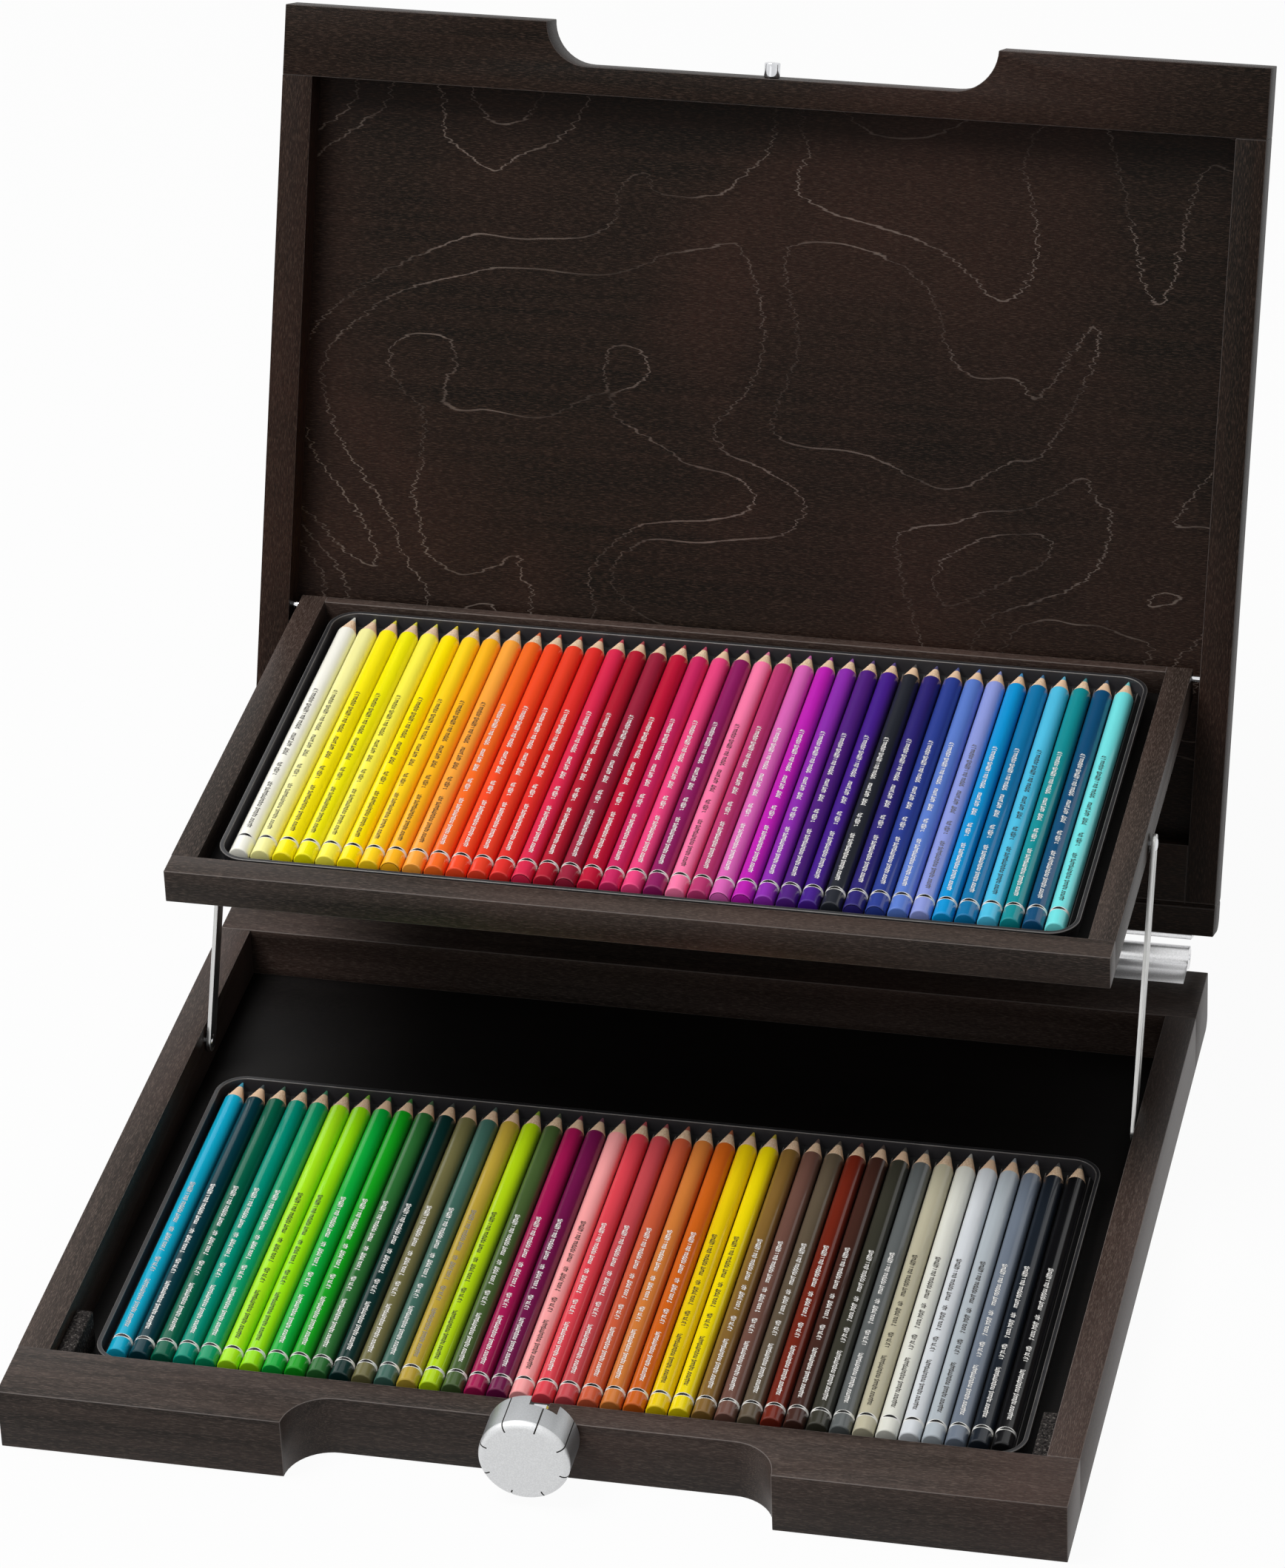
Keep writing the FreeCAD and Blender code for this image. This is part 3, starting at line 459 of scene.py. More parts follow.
@dataclass(frozen=True)
class LacquerFinish:
    """A pencil's gloss lacquer, coloured by the mesh, with rows of small foil strokes and their painted
    shadows, and a mirror band with a painted reflection.
    """

    name: str
    pitch: float = 0.66
    windows: tuple[tuple[float, float], ...] = ((15.0, 47.5), (52.5, 61.5), (67.0, 83.0), (86.0, 116.0))
    band: tuple[float, float] = (9.1, 10.9)

    def make(self) -> bpy.types.Material:
        """Make the material. The UV map holds millimetres: across the top, and along the pencil.

        Returns:
            The material.
        """
        graph = ShaderGraph(self.name)
        paint = graph.add("VertexColor")
        paint.layer_name = "paint"
        where = graph.add("UVMap")
        where.uv_map = "print"
        parts = graph.add("SeparateXYZ", Vector=where.outputs[0])
        across, along = (parts.outputs[0], parts.outputs[1])
        streaks = graph.noise(graph.place(0.0, (500.0, 30.0, 500.0)), 1.0, 3.0)
        shade = graph.scaled(streaks, 0.16, 0.90)
        colour = graph.mix(1.0, paint.outputs["Color"], graph.add("CombineColor", Red=shade, Green=shade,
                                                                  Blue=shade).outputs[0], "MULTIPLY")
        light = graph.ramp(graph.add("RGBToBW", Color=paint.outputs["Color"]).outputs[0], 0.28, 0.36)
        ink = graph.mix(light, srgb("F0EEEA"), srgb("38332D"))
        foil = self.strokes(graph, across, along)
        # Painted shadow: groove is a darker copy of the paint, laid just beside each foil stroke by this
        # offset mask.
        painted_stroke_shadow = self.strokes(graph, graph.math("ADD", across, 0.17), graph.math("ADD", along, 0.14))
        groove = graph.mix(0.62, colour, (0.01, 0.01, 0.01, 1.0))
        colour = graph.mix(painted_stroke_shadow, colour, groove)
        colour = graph.mix(graph.math("MULTIPLY", foil, 0.92), colour, ink)
        # The dark crescent on the band is a painted reflection.
        ring, painted_reflection = self.mirror_band(graph, across, along)
        colour = graph.mix(ring, colour, srgb("E9E8E4"))
        colour = graph.mix(painted_reflection, colour, srgb("101010"))
        peel = graph.noise(graph.place(), 700.0, 2.0)
        height = graph.math("SUBTRACT", peel, graph.math("MULTIPLY", foil, 0.8))
        spread = graph.scaled(foil, 0.15, 0.32)
        return graph.surface(Base_Color=colour, Roughness=spread, Specular_IOR_Level=0.16, Coat_Weight=0.45,
                             Coat_Roughness=0.06, Normal=graph.bump(height, 0.00001, 0.3))

    def mirror_band(self, graph: ShaderGraph, across: Socket, along: Socket) -> tuple[Socket, Socket]:
        """Draw the narrow silver band, and on top of it the dark crescent that its polish mirrors, a painted
        reflection.

        Args:
            graph: the material's tree.
            across: millimetres across the top.
            along: millimetres from the butt.

        Returns:
            The band's mask and the mask of the crescent, the painted reflection.
        """
        middle_line = sum(self.band) / 2
        half = (self.band[1] - self.band[0]) / 2
        offset = graph.math("ABSOLUTE", graph.math("SUBTRACT", along, middle_line))
        ring = graph.math("LESS_THAN", offset, half)
        side = graph.math("DIVIDE", across, 2.7)
        bulge = graph.math("SUBTRACT", 1.0, graph.math("MULTIPLY", side, side), clamp=True)
        crescent = graph.math("LESS_THAN", offset, graph.math("MULTIPLY", bulge, half * 0.80))
        return ring, graph.math("MULTIPLY", ring, crescent)

    def strokes(self, graph: ShaderGraph, across: Socket, along: Socket) -> Socket:
        """Draw the foil strokes: short slanted bars and bows of uneven height, in groups with gaps between.

        Args:
            graph: the material's tree.
            across: millimetres across the top.
            along: millimetres from the butt.

        Returns:
            The strokes' mask.
        """
        slanted = graph.scaled(across, 0.28, along)
        cell = graph.math("FLOOR", graph.math("DIVIDE", slanted, self.pitch))
        phase = graph.math("FRACT", graph.math("DIVIDE", slanted, self.pitch))
        tall = graph.math("GREATER_THAN", self.chance(graph, cell), 0.68)
        reach = graph.scaled(tall, 0.36, 0.72)
        inside = graph.math("LESS_THAN", graph.math("ABSOLUTE", across), reach)
        bar = graph.math("LESS_THAN", phase, 0.42)
        bow_side = graph.math("GREATER_THAN", self.chance(graph, graph.math("ADD", cell, 0.37)), 0.5)
        edge_place = graph.math("SUBTRACT", graph.math("MULTIPLY", bow_side, 1.16), 0.58)
        edge_gap = graph.math("ABSOLUTE", graph.math("SUBTRACT", across, edge_place))
        bow = graph.math("LESS_THAN", edge_gap, 0.16)
        kept = graph.math("GREATER_THAN", self.chance(graph, graph.math("ADD", cell, 0.71)), 0.13)
        window = None
        for start, end in self.windows:
            part = graph.math("MULTIPLY", graph.math("GREATER_THAN", along, start),
                              graph.math("LESS_THAN", along, end))
            window = part if window is None else graph.math("MAXIMUM", window, part)
        mask = graph.math("MAXIMUM", bar, bow)
        for part in (inside, kept, window):
            mask = graph.math("MULTIPLY", mask, part)
        return mask

    def chance(self, graph: ShaderGraph, number: Socket) -> Socket:
        """Give an even random number for each input number.

        Args:
            graph: the material's tree.
            number: the input.

        Returns:
            The random number's socket.
        """
        node = graph.tree.nodes.new("ShaderNodeTexWhiteNoise")
        node.noise_dimensions = "1D"
        graph.feed(node.inputs["W"], number)
        return node.outputs["Value"]


@dataclass(frozen=True)
class ShavedWoodFinish:
    """Pale sharpened cedar with fine fibres along the pencil."""

    name: str

    def make(self) -> bpy.types.Material:
        """Make the material.

        Returns:
            The material.
        """
        graph = ShaderGraph(self.name)
        fibres = graph.noise(graph.place(0.0, (2400.0, 160.0, 2400.0)), 1.0, 3.0)
        tints = graph.noise(graph.place(0.0, (90.0, 8.0, 8.0)), 1.0, 2.0)
        colour = graph.mix(graph.ramp(fibres, 0.35, 0.7), srgb("DDB994"), srgb("F3DABD"))
        colour = graph.mix(graph.ramp(tints, 0.4, 0.7), colour, srgb("EBC6A4"))
        return graph.surface(Base_Color=colour, Roughness=0.62, Normal=graph.bump(fibres, 0.00005, 0.6))


@dataclass(frozen=True)
class LeadFinish:
    """A waxy coloured lead, coloured by the mesh."""

    name: str

    def make(self) -> bpy.types.Material:
        """Make the material.

        Returns:
            The material.
        """
        graph = ShaderGraph(self.name)
        paint = graph.add("VertexColor")
        paint.layer_name = "paint"
        wax = graph.noise(graph.place(), 2500.0, 3.0)
        colour = graph.mix(0.20, paint.outputs["Color"], srgb("8F8A82"))
        colour = graph.mix(graph.math("MULTIPLY", wax, 0.3), colour, srgb("3A3634"))
        return graph.surface(Base_Color=colour, Roughness=0.5, Normal=graph.bump(wax, 0.00004, 0.6))


class Finishes:
    """Every finish of the case, made once and handed out by name."""

    # The lid's tones are a darker copy of the case's wood: painted shade over the whole lid.
    shaded_lid_tones = {"dark": "0C0805", "mid": "1C130E", "pale": "4E3E35", "cloud": "33201A", "shine": 0.07}
    # The floor boards' tones are nearly black: painted shade inside the base and the tray.
    shaded_floor_tones = {"dark": "050404", "mid": "0B0908", "pale": "171311", "cloud": "0E0B0A"}

    def __init__(self) -> None:
        """Make the finishes."""
        lid_turn = OPEN_ANGLE
        recipes = [
            WoodFinish("wood_across", Grain.ACROSS),
            WoodFinish("wood_deep", Grain.DEEP),
            # The _edge copies are paler by lift: a painted highlight on the softened edges.
            WoodFinish("wood_across_edge", Grain.ACROSS, lift=0.25),
            WoodFinish("wood_deep_edge", Grain.DEEP, lift=0.22),
            # Lid finishes, darker by the lid's tones: painted shade.
            WoodFinish("lid_across", Grain.ACROSS, turn=lid_turn, **self.shaded_lid_tones),
            WoodFinish("lid_deep", Grain.DEEP, turn=lid_turn, **self.shaded_lid_tones),
            WoodFinish("lid_across_edge", Grain.ACROSS, turn=lid_turn, lift=0.12, **self.shaded_lid_tones),
            WoodFinish("lid_deep_edge", Grain.DEEP, turn=lid_turn, lift=0.12, **self.shaded_lid_tones),
            WoodFinish("lid_board", Grain.ACROSS, turn=lid_turn, figure=0.36, **self.shaded_lid_tones),
            # Nearly black floor boards: painted shade.
            WoodFinish("floor_board", Grain.ACROSS, **self.shaded_floor_tones),
            MetalFinish("brushed_aluminium", "F6F6F7", 0.34, brushing=(1800.0, 1800.0, 1800.0), metal=0.95),
            # A brighter, less metallic copy of the aluminium for softened edges: painted highlight.
            MetalFinish("aluminium_edge_highlight", "FBFBFC", 0.36, brushing=(900.0, 900.0, 900.0), metal=0.6),
            MetalFinish("blasted_aluminium", "E8E9EA", 0.40, brushing=(2600.0, 2600.0, 2600.0), metal=0.7),
            # A darker copy of the knob's aluminium for its outer side: painted shade.
            MetalFinish("shaded_side_aluminium", "BFC1C3", 0.36, brushing=(2600.0, 2600.0, 2600.0), metal=0.9),
            MetalFinish("link_steel", "C4C4C2", 0.30, brushing=(600.0, 90.0, 90.0), anisotropy=0.3),
            MetalFinish("polished_steel", "DEDFE2", 0.10, brushing=(300.0, 300.0, 300.0), depth=0.000005),
            PaintFinish("groove_shadow", "34332F", "4A4845", 0.60, 900.0, 0.00001),
            PaintFinish("tin_black", "2E2D30", "3D3B3E", 0.42, 420.0, 0.00001),
            PaintFinish("tin_rim", "1C1C1E", "2C2C2E", 0.34, 420.0, 0.00001),
            # A paler copy of the tin's black for rolled rim edges and the insert's ridge edge: painted
            # highlight.
            PaintFinish("rim_edge_highlight", "5A5755", "6E6A67", 0.34, 420.0, 0.00001),
            PaintFinish("insert_black", "0B0B0C", "161617", 0.55, 900.0, 0.00004),
            FoamFinish("foam"),
            LacquerFinish("upper_lacquer"),
            LacquerFinish("lower_lacquer", windows=((13.5, 43.0), (48.0, 57.0), (61.0, 76.0), (79.0, 105.0)),
                          band=(7.5, 9.2)),
            ShavedWoodFinish("cedar"),
            LeadFinish("lead"),
        ]
        self.ready = {recipe.name: recipe.make() for recipe in recipes}
        LOG.info("finishes: %d", len(self.ready))

    def get(self, name: str) -> bpy.types.Material:
        """Hand out a finish.

        Args:
            name: its name.

        Returns:
            The material.
        """
        return self.ready[name]


# ---------------------------------------------------------------- mesh work

class Piece:
    """One mesh object under construction, with its finishes."""

    def __init__(self, name: str, finishes: Finishes, slots: list[str]) -> None:
        """Start an empty piece.

        Args:
            name: the object's name.
            finishes: the finishes to take from.
            slots: names of its finishes, in the order of their material indices.
        """
        self.name = name
        self.mesh = bmesh.new()
        self.finishes = finishes
        self.slots = slots

    def take(self, node: bpy.types.Object, index: int = 0) -> None:
        """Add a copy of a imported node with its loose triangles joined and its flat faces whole.

        Args:
            node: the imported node.
            index: the material index of the copy's faces.
        """
        before = set(self.mesh.faces)
        self.mesh.from_mesh(node.data)
        added = [face for face in self.mesh.faces if face not in before]
        for face in added:
            face.material_index = index
        bmesh.ops.remove_doubles(self.mesh, verts=self.mesh.verts[:], dist=1e-6)
        bmesh.ops.dissolve_limit(self.mesh, angle_limit=math.radians(0.8), verts=self.mesh.verts[:],
                                 edges=self.mesh.edges[:], delimit={"MATERIAL"})

    def sharp_edges(self, angle: float = 28.0) -> list[bmesh.types.BMEdge]:
        """Find the edges that are sharper than an angle.

        Args:
            angle: the angle in degrees.

        Returns:
            The edges.
        """
        limit = math.radians(angle)
        return [edge for edge in self.mesh.edges if edge.is_manifold and edge.calc_face_angle() > limit]

    def soften(self, width: float, segments: int = 2, index: int = -1, edges: list | None = None) -> None:
        """Round edges.

        Args:
            width: the bevel's width in metres.
            segments: the bevel's segments.
            index: the material index of the new faces, or -1 for that of their neighbours.
            edges: the edges, or None for every sharp one.
        """
        chosen = self.sharp_edges() if edges is None else edges
        bmesh.ops.bevel(self.mesh, geom=chosen, offset=width, segments=segments, profile=0.5,
                        affect="EDGES", clamp_overlap=True, material=index)

    def finish(self, body: str, slot: str, replaces: tuple[str, ...] = (),
               smooth: float = 34.0) -> bpy.types.Object:
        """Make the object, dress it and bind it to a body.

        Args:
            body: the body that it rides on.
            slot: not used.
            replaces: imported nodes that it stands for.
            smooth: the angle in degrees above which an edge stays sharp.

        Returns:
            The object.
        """
        bmesh.ops.recalc_face_normals(self.mesh, faces=self.mesh.faces[:])
        data = bpy.data.meshes.new(self.name)
        self.mesh.to_mesh(data)
        self.mesh.free()
        if "custom_normal" in data.attributes:
            data.attributes.remove(data.attributes["custom_normal"])
        data.shade_smooth()
        data.set_sharp_from_angle(angle=math.radians(smooth))
        for name in self.slots:
            data.materials.append(self.finishes.get(name))
        thing = bpy.data.objects.new(self.name, data)
        bpy.context.scene.collection.objects.link(thing)
        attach(thing, body)
        if replaces:
            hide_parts(*replaces)
        LOG.info("%s: %d faces on %s", self.name, len(data.polygons), body)
        return thing


def middle(node: str) -> Vector:
    """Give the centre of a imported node's box.

    Args:
        node: the node's name.

    Returns:
        The centre.
    """
    low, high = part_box(node)
    return (Vector(low) + Vector(high)) / 2


def lathe(mesh: bmesh.types.BMesh, profile: list[tuple[float, float]], axis: Matrix, steps: int) -> None:
    """Spin a profile of (distance along, radius) points about an axis, and join its seam.

    Args:
        mesh: the mesh that receives the solid.
        profile: the points in metres, open or from axis to axis.
        axis: the matrix that takes +Z to the axis.
        steps: how many steps the turn has.
    """
    ring = [mesh.verts.new((radius, 0.0, along)) for along, radius in profile]
    lines = [mesh.edges.new(pair) for pair in zip(ring, ring[1:])]
    bmesh.ops.spin(mesh, geom=ring + lines, cent=(0, 0, 0), axis=(0, 0, 1), angle=math.tau,
                   steps=steps, use_merge=True, use_duplicate=False)
    bmesh.ops.remove_doubles(mesh, verts=mesh.verts[:], dist=1e-7)
    bmesh.ops.recalc_face_normals(mesh, faces=mesh.faces[:])
    bmesh.ops.transform(mesh, matrix=axis, verts=mesh.verts[:])


# ---------------------------------------------------------------- sub-assemblies

@dataclass
class Woodwork:
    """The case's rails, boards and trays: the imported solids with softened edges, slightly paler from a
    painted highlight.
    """

    finishes: Finishes
    nodes: dict
    edge: float = 0.28 * MM
    # The floor boards take the nearly black finish, which is painted shade.
    boards: dict = field(default_factory=lambda: {"lid_panel": "lid_board", "base_floor": "floor_board",
                                                  "tray_floor": "floor_board"})
    rails: dict = field(default_factory=lambda: {
        "base": {"base_front_rail": Grain.ACROSS, "base_rear_rail": Grain.ACROSS,
                 "base_left_rail": Grain.DEEP, "base_right_rail": Grain.DEEP},
        "lid": {"lid_front_rail": Grain.ACROSS, "lid_rear_rail": Grain.ACROSS, "lid_left_rail": Grain.DEEP,
                "lid_right_rail": Grain.DEEP, "lid_hinge_strip": Grain.ACROSS},
        "tray": {"tray_front_rail": Grain.ACROSS, "tray_rear_rail": Grain.ACROSS,
                 "tray_left_rail": Grain.DEEP, "tray_right_rail": Grain.DEEP},
    })

    def build(self) -> None:
        """Make every rail and dress every board."""
        for body, rails in self.rails.items():
            family = "lid" if body == "lid" else "wood"
            for node, grain in rails.items():
                # The second slot, on the softened edges, is the copy of the wood with the painted highlight.
                slots = [f"{family}_{grain.value}", f"{family}_{grain.value}_edge"]
                piece = Piece(f"{node}_dressed", self.finishes, slots)
                piece.take(self.nodes[node])
                piece.soften(self.edge, 2, 1)
                piece.finish(body, "case_wood", (node,), smooth=30.0)
        for node, finish in self.boards.items():
            self.nodes[node].material_slots[0].material = self.finishes.get(finish)


@dataclass
class Hinge:
    """The knuckled hinge: both leaves with softened edges that carry a painted highlight, and its pin."""

    finishes: Finishes
    nodes: dict
    edge: float = 0.3 * MM

    def build(self) -> None:
        """Make the hinge's pieces."""
        for node, body in (("hinge_base_leaf", "base"), ("hinge_lid_leaf", "lid")):
            # The softened edges take the second slot, a painted highlight.
            piece = Piece(f"{node}_dressed", self.finishes, ["brushed_aluminium", "aluminium_edge_highlight"])
            piece.take(self.nodes[node])
            piece.soften(self.edge, 2, 1)
            piece.finish(body, "hinge_metal", (node,))
        pin = Piece("hinge_pin_dressed", self.finishes, ["polished_steel"])
        pin.take(self.nodes["hinge_pin"])
        pin.soften(self.edge, 2)
        pin.finish("base", "pin_steel", ("hinge_pin",))


@dataclass
class Linkage:
    """The two flat link bars, the pins they turn on and the pins' riveted heads."""

    finishes: Finishes
    nodes: dict
    edge: float = 0.25 * MM
    head_radius: float = 2.5 * MM
    head_height: float = 0.65 * MM
    head_steps: int = 32

    def build(self) -> None:
        """Make the bars, pins and heads."""
        for side in Side:
            word = side.name.lower()
            # The bar's softened edges take the second slot, a painted highlight.
            bar = Piece(f"link_{word}_dressed", self.finishes, ["link_steel", "aluminium_edge_highlight"])
            bar.take(self.nodes[f"link_{word}"])
            bar.soften(self.edge, 2, 1)
            bar.finish(f"link_{word}", "link_steel", (f"link_{word}",))
            low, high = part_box(f"link_{word}")
            inner, outer = sorted((low[0], high[0]), key=abs)
            foot = self.pin_place("link_base_pins", side)
            tip = self.pin_place("link_tray_pins", side)
            self.head(f"link_{word}_base_rivet", "base", side, inner, foot, -1)
            self.head(f"link_{word}_tray_rivet", "tray", side, outer, tip, 1)
        for node in ("link_base_pins", "link_tray_pins", "tray_pivot_pins"):
            self.nodes[node].material_slots[0].material = self.finishes.get("polished_steel")

    def pin_place(self, node: str, side: Side) -> Vector:
        """Find the centre of one side's pin in a node that holds both.

        Args:
            node: the node of both pins.
            side: the side.

        Returns:
            The centre.
        """
        points = [vert.co for vert in self.nodes[node].data.vertices if vert.co.x * side.value > 0]
        low = Vector([min(point[axis] for point in points) for axis in range(3)])
        high = Vector([max(point[axis] for point in points) for axis in range(3)])
        return (low + high) / 2

    def head(self, name: str, body: str, side: Side, face: float, centre: Vector, way: int) -> None:
        """Make one low domed rivet head on a bar's face.

        Args:
            name: the piece's name.
            body: the body that it rides on.
            side: the side of the case.
            face: the x of the bar's face.
            centre: the pin's centre.
            way: 1 when the head looks away from the case's middle, and -1 when it looks towards it.
        """
        piece = Piece(name, self.finishes, ["polished_steel"])
        radius, height = (self.head_radius, self.head_height)
        profile = [(0.0, 0.0), (0.0, radius), (0.35 * height, 0.96 * radius), (0.75 * height, 0.72 * radius),
                   (0.95 * height, 0.36 * radius), (height, 0.0)]
        turn = Matrix.Rotation(math.radians(90.0) * side.value * way, 4, "Y")
        axis = Matrix.Translation((face, centre.y, centre.z)) @ turn
        lathe(piece.mesh, profile, axis, self.head_steps)
        piece.finish(body, "pin_steel", smooth=50.0)


@dataclass
class Tin:
    """A pressed black tin with round corners and a rolled rim."""

    finishes: Finishes
    nodes: dict
    word: str
    body: str
    corner: float = 11.6 * MM
    corner_steps: int = 12
    rim_width: float = 1.8 * MM
    rim_height: float = 1.8 * MM
    sheet: float = 0.5 * MM
    roll: float = 0.32 * MM

    def build(self) -> None:
        """Make the tin and dress its insert."""
        node = f"{self.word}_tin"
        low, high = (Vector(point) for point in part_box(node))
        piece = Piece(f"{node}_dressed", self.finishes, ["tin_black", "tin_rim", "rim_edge_highlight"])
        mesh = piece.mesh
        plan = bmesh.ops.create_grid(mesh, x_segments=1, y_segments=1, size=0.5)
        size = high - low
        bmesh.ops.scale(mesh, vec=(size.x, size.y, 1.0), verts=plan["verts"])
        centre = (low + high) / 2
        bmesh.ops.translate(mesh, vec=(centre.x, centre.y, high.z - self.rim_height), verts=plan["verts"])
        bmesh.ops.bevel(mesh, geom=mesh.verts[:], offset=self.corner, segments=self.corner_steps, profile=0.5,
                        affect="VERTICES", material=-1)
        mesh.faces.ensure_lookup_table()
        under = mesh.faces[0]
        top = self.raise_face(mesh, under, self.rim_height, keep=True)
        for face in mesh.faces:
            face.material_index = 1
        floor = self.inset(mesh, top, self.rim_width)
        floor = self.raise_face(mesh, floor, low.z + self.sheet - high.z)
        floor.material_index = 0
        skirt = self.inset(mesh, under, self.rim_width - self.sheet)
        self.raise_face(mesh, skirt, low.z - (high.z - self.rim_height))
        for face in mesh.faces:
            if face.calc_center_median().z < high.z - self.rim_height - 1e-5:
                face.material_index = 0
        rim_edges = [edge for edge in piece.sharp_edges(40.0)
                     if min(vert.co.z for vert in edge.verts) > high.z - self.rim_height - 1e-6]
        # The rim's rolled edges take the paler finish: a painted highlight.
        piece.soften(self.roll, 3, 2, rim_edges)
        piece.soften(0.8 * MM, 3, 0, [edge for edge in piece.sharp_edges(60.0)
                                      if max(vert.co.z for vert in edge.verts) < low.z + self.sheet + 1e-6])
        piece.finish(self.body, "tin_black", (node,), smooth=60.0)
        self.insert(f"{self.word}_insert")

    def insert(self, node: str) -> None:
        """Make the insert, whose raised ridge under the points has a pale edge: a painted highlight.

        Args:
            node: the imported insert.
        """
        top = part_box(node)[1][2]
        piece = Piece(f"{node}_dressed", self.finishes, ["insert_black", "rim_edge_highlight"])
        piece.take(self.nodes[node])
        ridge = [edge for edge in piece.sharp_edges(40.0)
                 if min(vert.co.z for vert in edge.verts) > top - 1e-5 and edge.calc_length() > self.corner]
        # The ridge's softened edge takes the paler finish: a painted highlight.
        piece.soften(0.3 * MM, 1, 1, ridge)
        piece.finish(self.body, "insert_black", (node,))

    def inset(self, mesh: bmesh.types.BMesh, face: bmesh.types.BMFace, width: float) -> bmesh.types.BMFace:
        """Inset a face.

        Args:
            mesh: the mesh.
            face: the face.
            width: the inset's width in metres.

        Returns:
            The inner face.
        """
        bmesh.ops.inset_region(mesh, faces=[face], thickness=width, depth=0.0, use_even_offset=True)
        return face

    def raise_face(self, mesh: bmesh.types.BMesh, face: bmesh.types.BMFace, height: float,
                   keep: bool = False) -> bmesh.types.BMFace:
        """Extrude a face along Z.

        Args:
            mesh: the mesh.
            face: the face.
            height: the signed height in metres.
            keep: leave the starting face in place, so that the result is closed.

        Returns:
            The moved face.
        """
        moved = bmesh.ops.extrude_face_region(mesh, geom=[face], use_keep_orig=keep)
        verts = [item for item in moved["geom"] if isinstance(item, bmesh.types.BMVert)]
        bmesh.ops.translate(mesh, vec=(0, 0, height), verts=verts)
        ends = [item for item in moved["geom"] if isinstance(item, bmesh.types.BMFace)]
        if not keep and face.is_valid:
            bmesh.ops.delete(mesh, geom=[face], context="FACES_ONLY")
        return ends[0]


@dataclass
class Pencil:
    """One sharpened round pencil, drawn along +Y from its domed butt."""

    length: float
    width: float
    cone: float = 13.2 * MM
    lead_radius: float = 1.4 * MM
    tip_radius: float = 0.25 * MM
    sides: int = 28
    dome: float = 0.6 * MM

    def stations(self) -> list[tuple[float, float, int]]:
        """List the rings from the butt to the tip.

        Returns:
            For each ring its distance from the butt, its radius, and the material index of the faces
            before it.
        """
        radius = self.width / 2
        slope = (radius - self.tip_radius) / self.cone
        lead_start = self.length - (self.lead_radius - self.tip_radius) / slope
        dome = [(self.dome * (1 - math.cos(step)), radius * (0.84 + 0.16 * math.sin(step)), 0)
                for step in (math.radians(angle) for angle in (0, 30, 60, 90))]
        return dome + [(self.length - self.cone, radius, 0), (lead_start, self.lead_radius, 1),
                       (self.length - 0.25 * MM, self.tip_radius + 0.12 * MM, 2),
                       (self.length, self.tip_radius * 0.4, 2)]

    def template(self) -> bpy.types.Mesh:
        """Build the pencil once.

        Returns:
            A mesh with a UV map named print and material indices 0 lacquer, 1 cedar, 2 lead.
        """
        mesh = bmesh.new()
        stations = self.stations()
        butt_radius = stations[0][1]
        ring = bmesh.ops.create_circle(mesh, cap_ends=True, segments=self.sides, radius=butt_radius)["verts"]
        bmesh.ops.rotate(mesh, verts=ring, cent=(0, 0, 0), matrix=Matrix.Rotation(math.radians(90), 3, "X"))
        mesh.faces.ensure_lookup_table()
        face = mesh.faces[0]
        for (last_along, last_radius, _), (along, radius, index) in zip(stations, stations[1:]):
            before = set(mesh.faces)
            moved = bmesh.ops.extrude_face_region(mesh, geom=[face], use_keep_orig=len(before) == 1)["geom"]
            verts = [item for item in moved if isinstance(item, bmesh.types.BMVert)]
            bmesh.ops.translate(mesh, verts=verts, vec=(0, along - last_along, 0))
            scale = radius / last_radius
            bmesh.ops.scale(mesh, verts=verts, vec=(scale, 1.0, scale))
            face = [item for item in moved if isinstance(item, bmesh.types.BMFace)][0]
            for side in mesh.faces:
                if side not in before:
                    side.material_index = index
        self.print_map(mesh)
        data = bpy.data.meshes.new("pencil_template")
        bmesh.ops.recalc_face_normals(mesh, faces=mesh.faces[:])
        mesh.to_mesh(data)
        mesh.free()
        return data

    def print_map(self, mesh: bmesh.types.BMesh) -> None:
        """Lay a UV map in millimetres on the upper half: across it, and along from the butt.

        Args:
            mesh: the pencil's mesh.
        """
        layer = mesh.loops.layers.uv.new("print")
        for face in mesh.faces:
            top = face.calc_center_median().z > 0
            for loop in face.loops:
                across = loop.vert.co.x / MM if top else 99.0
                loop[layer].uv = (across, loop.vert.co.y / MM)


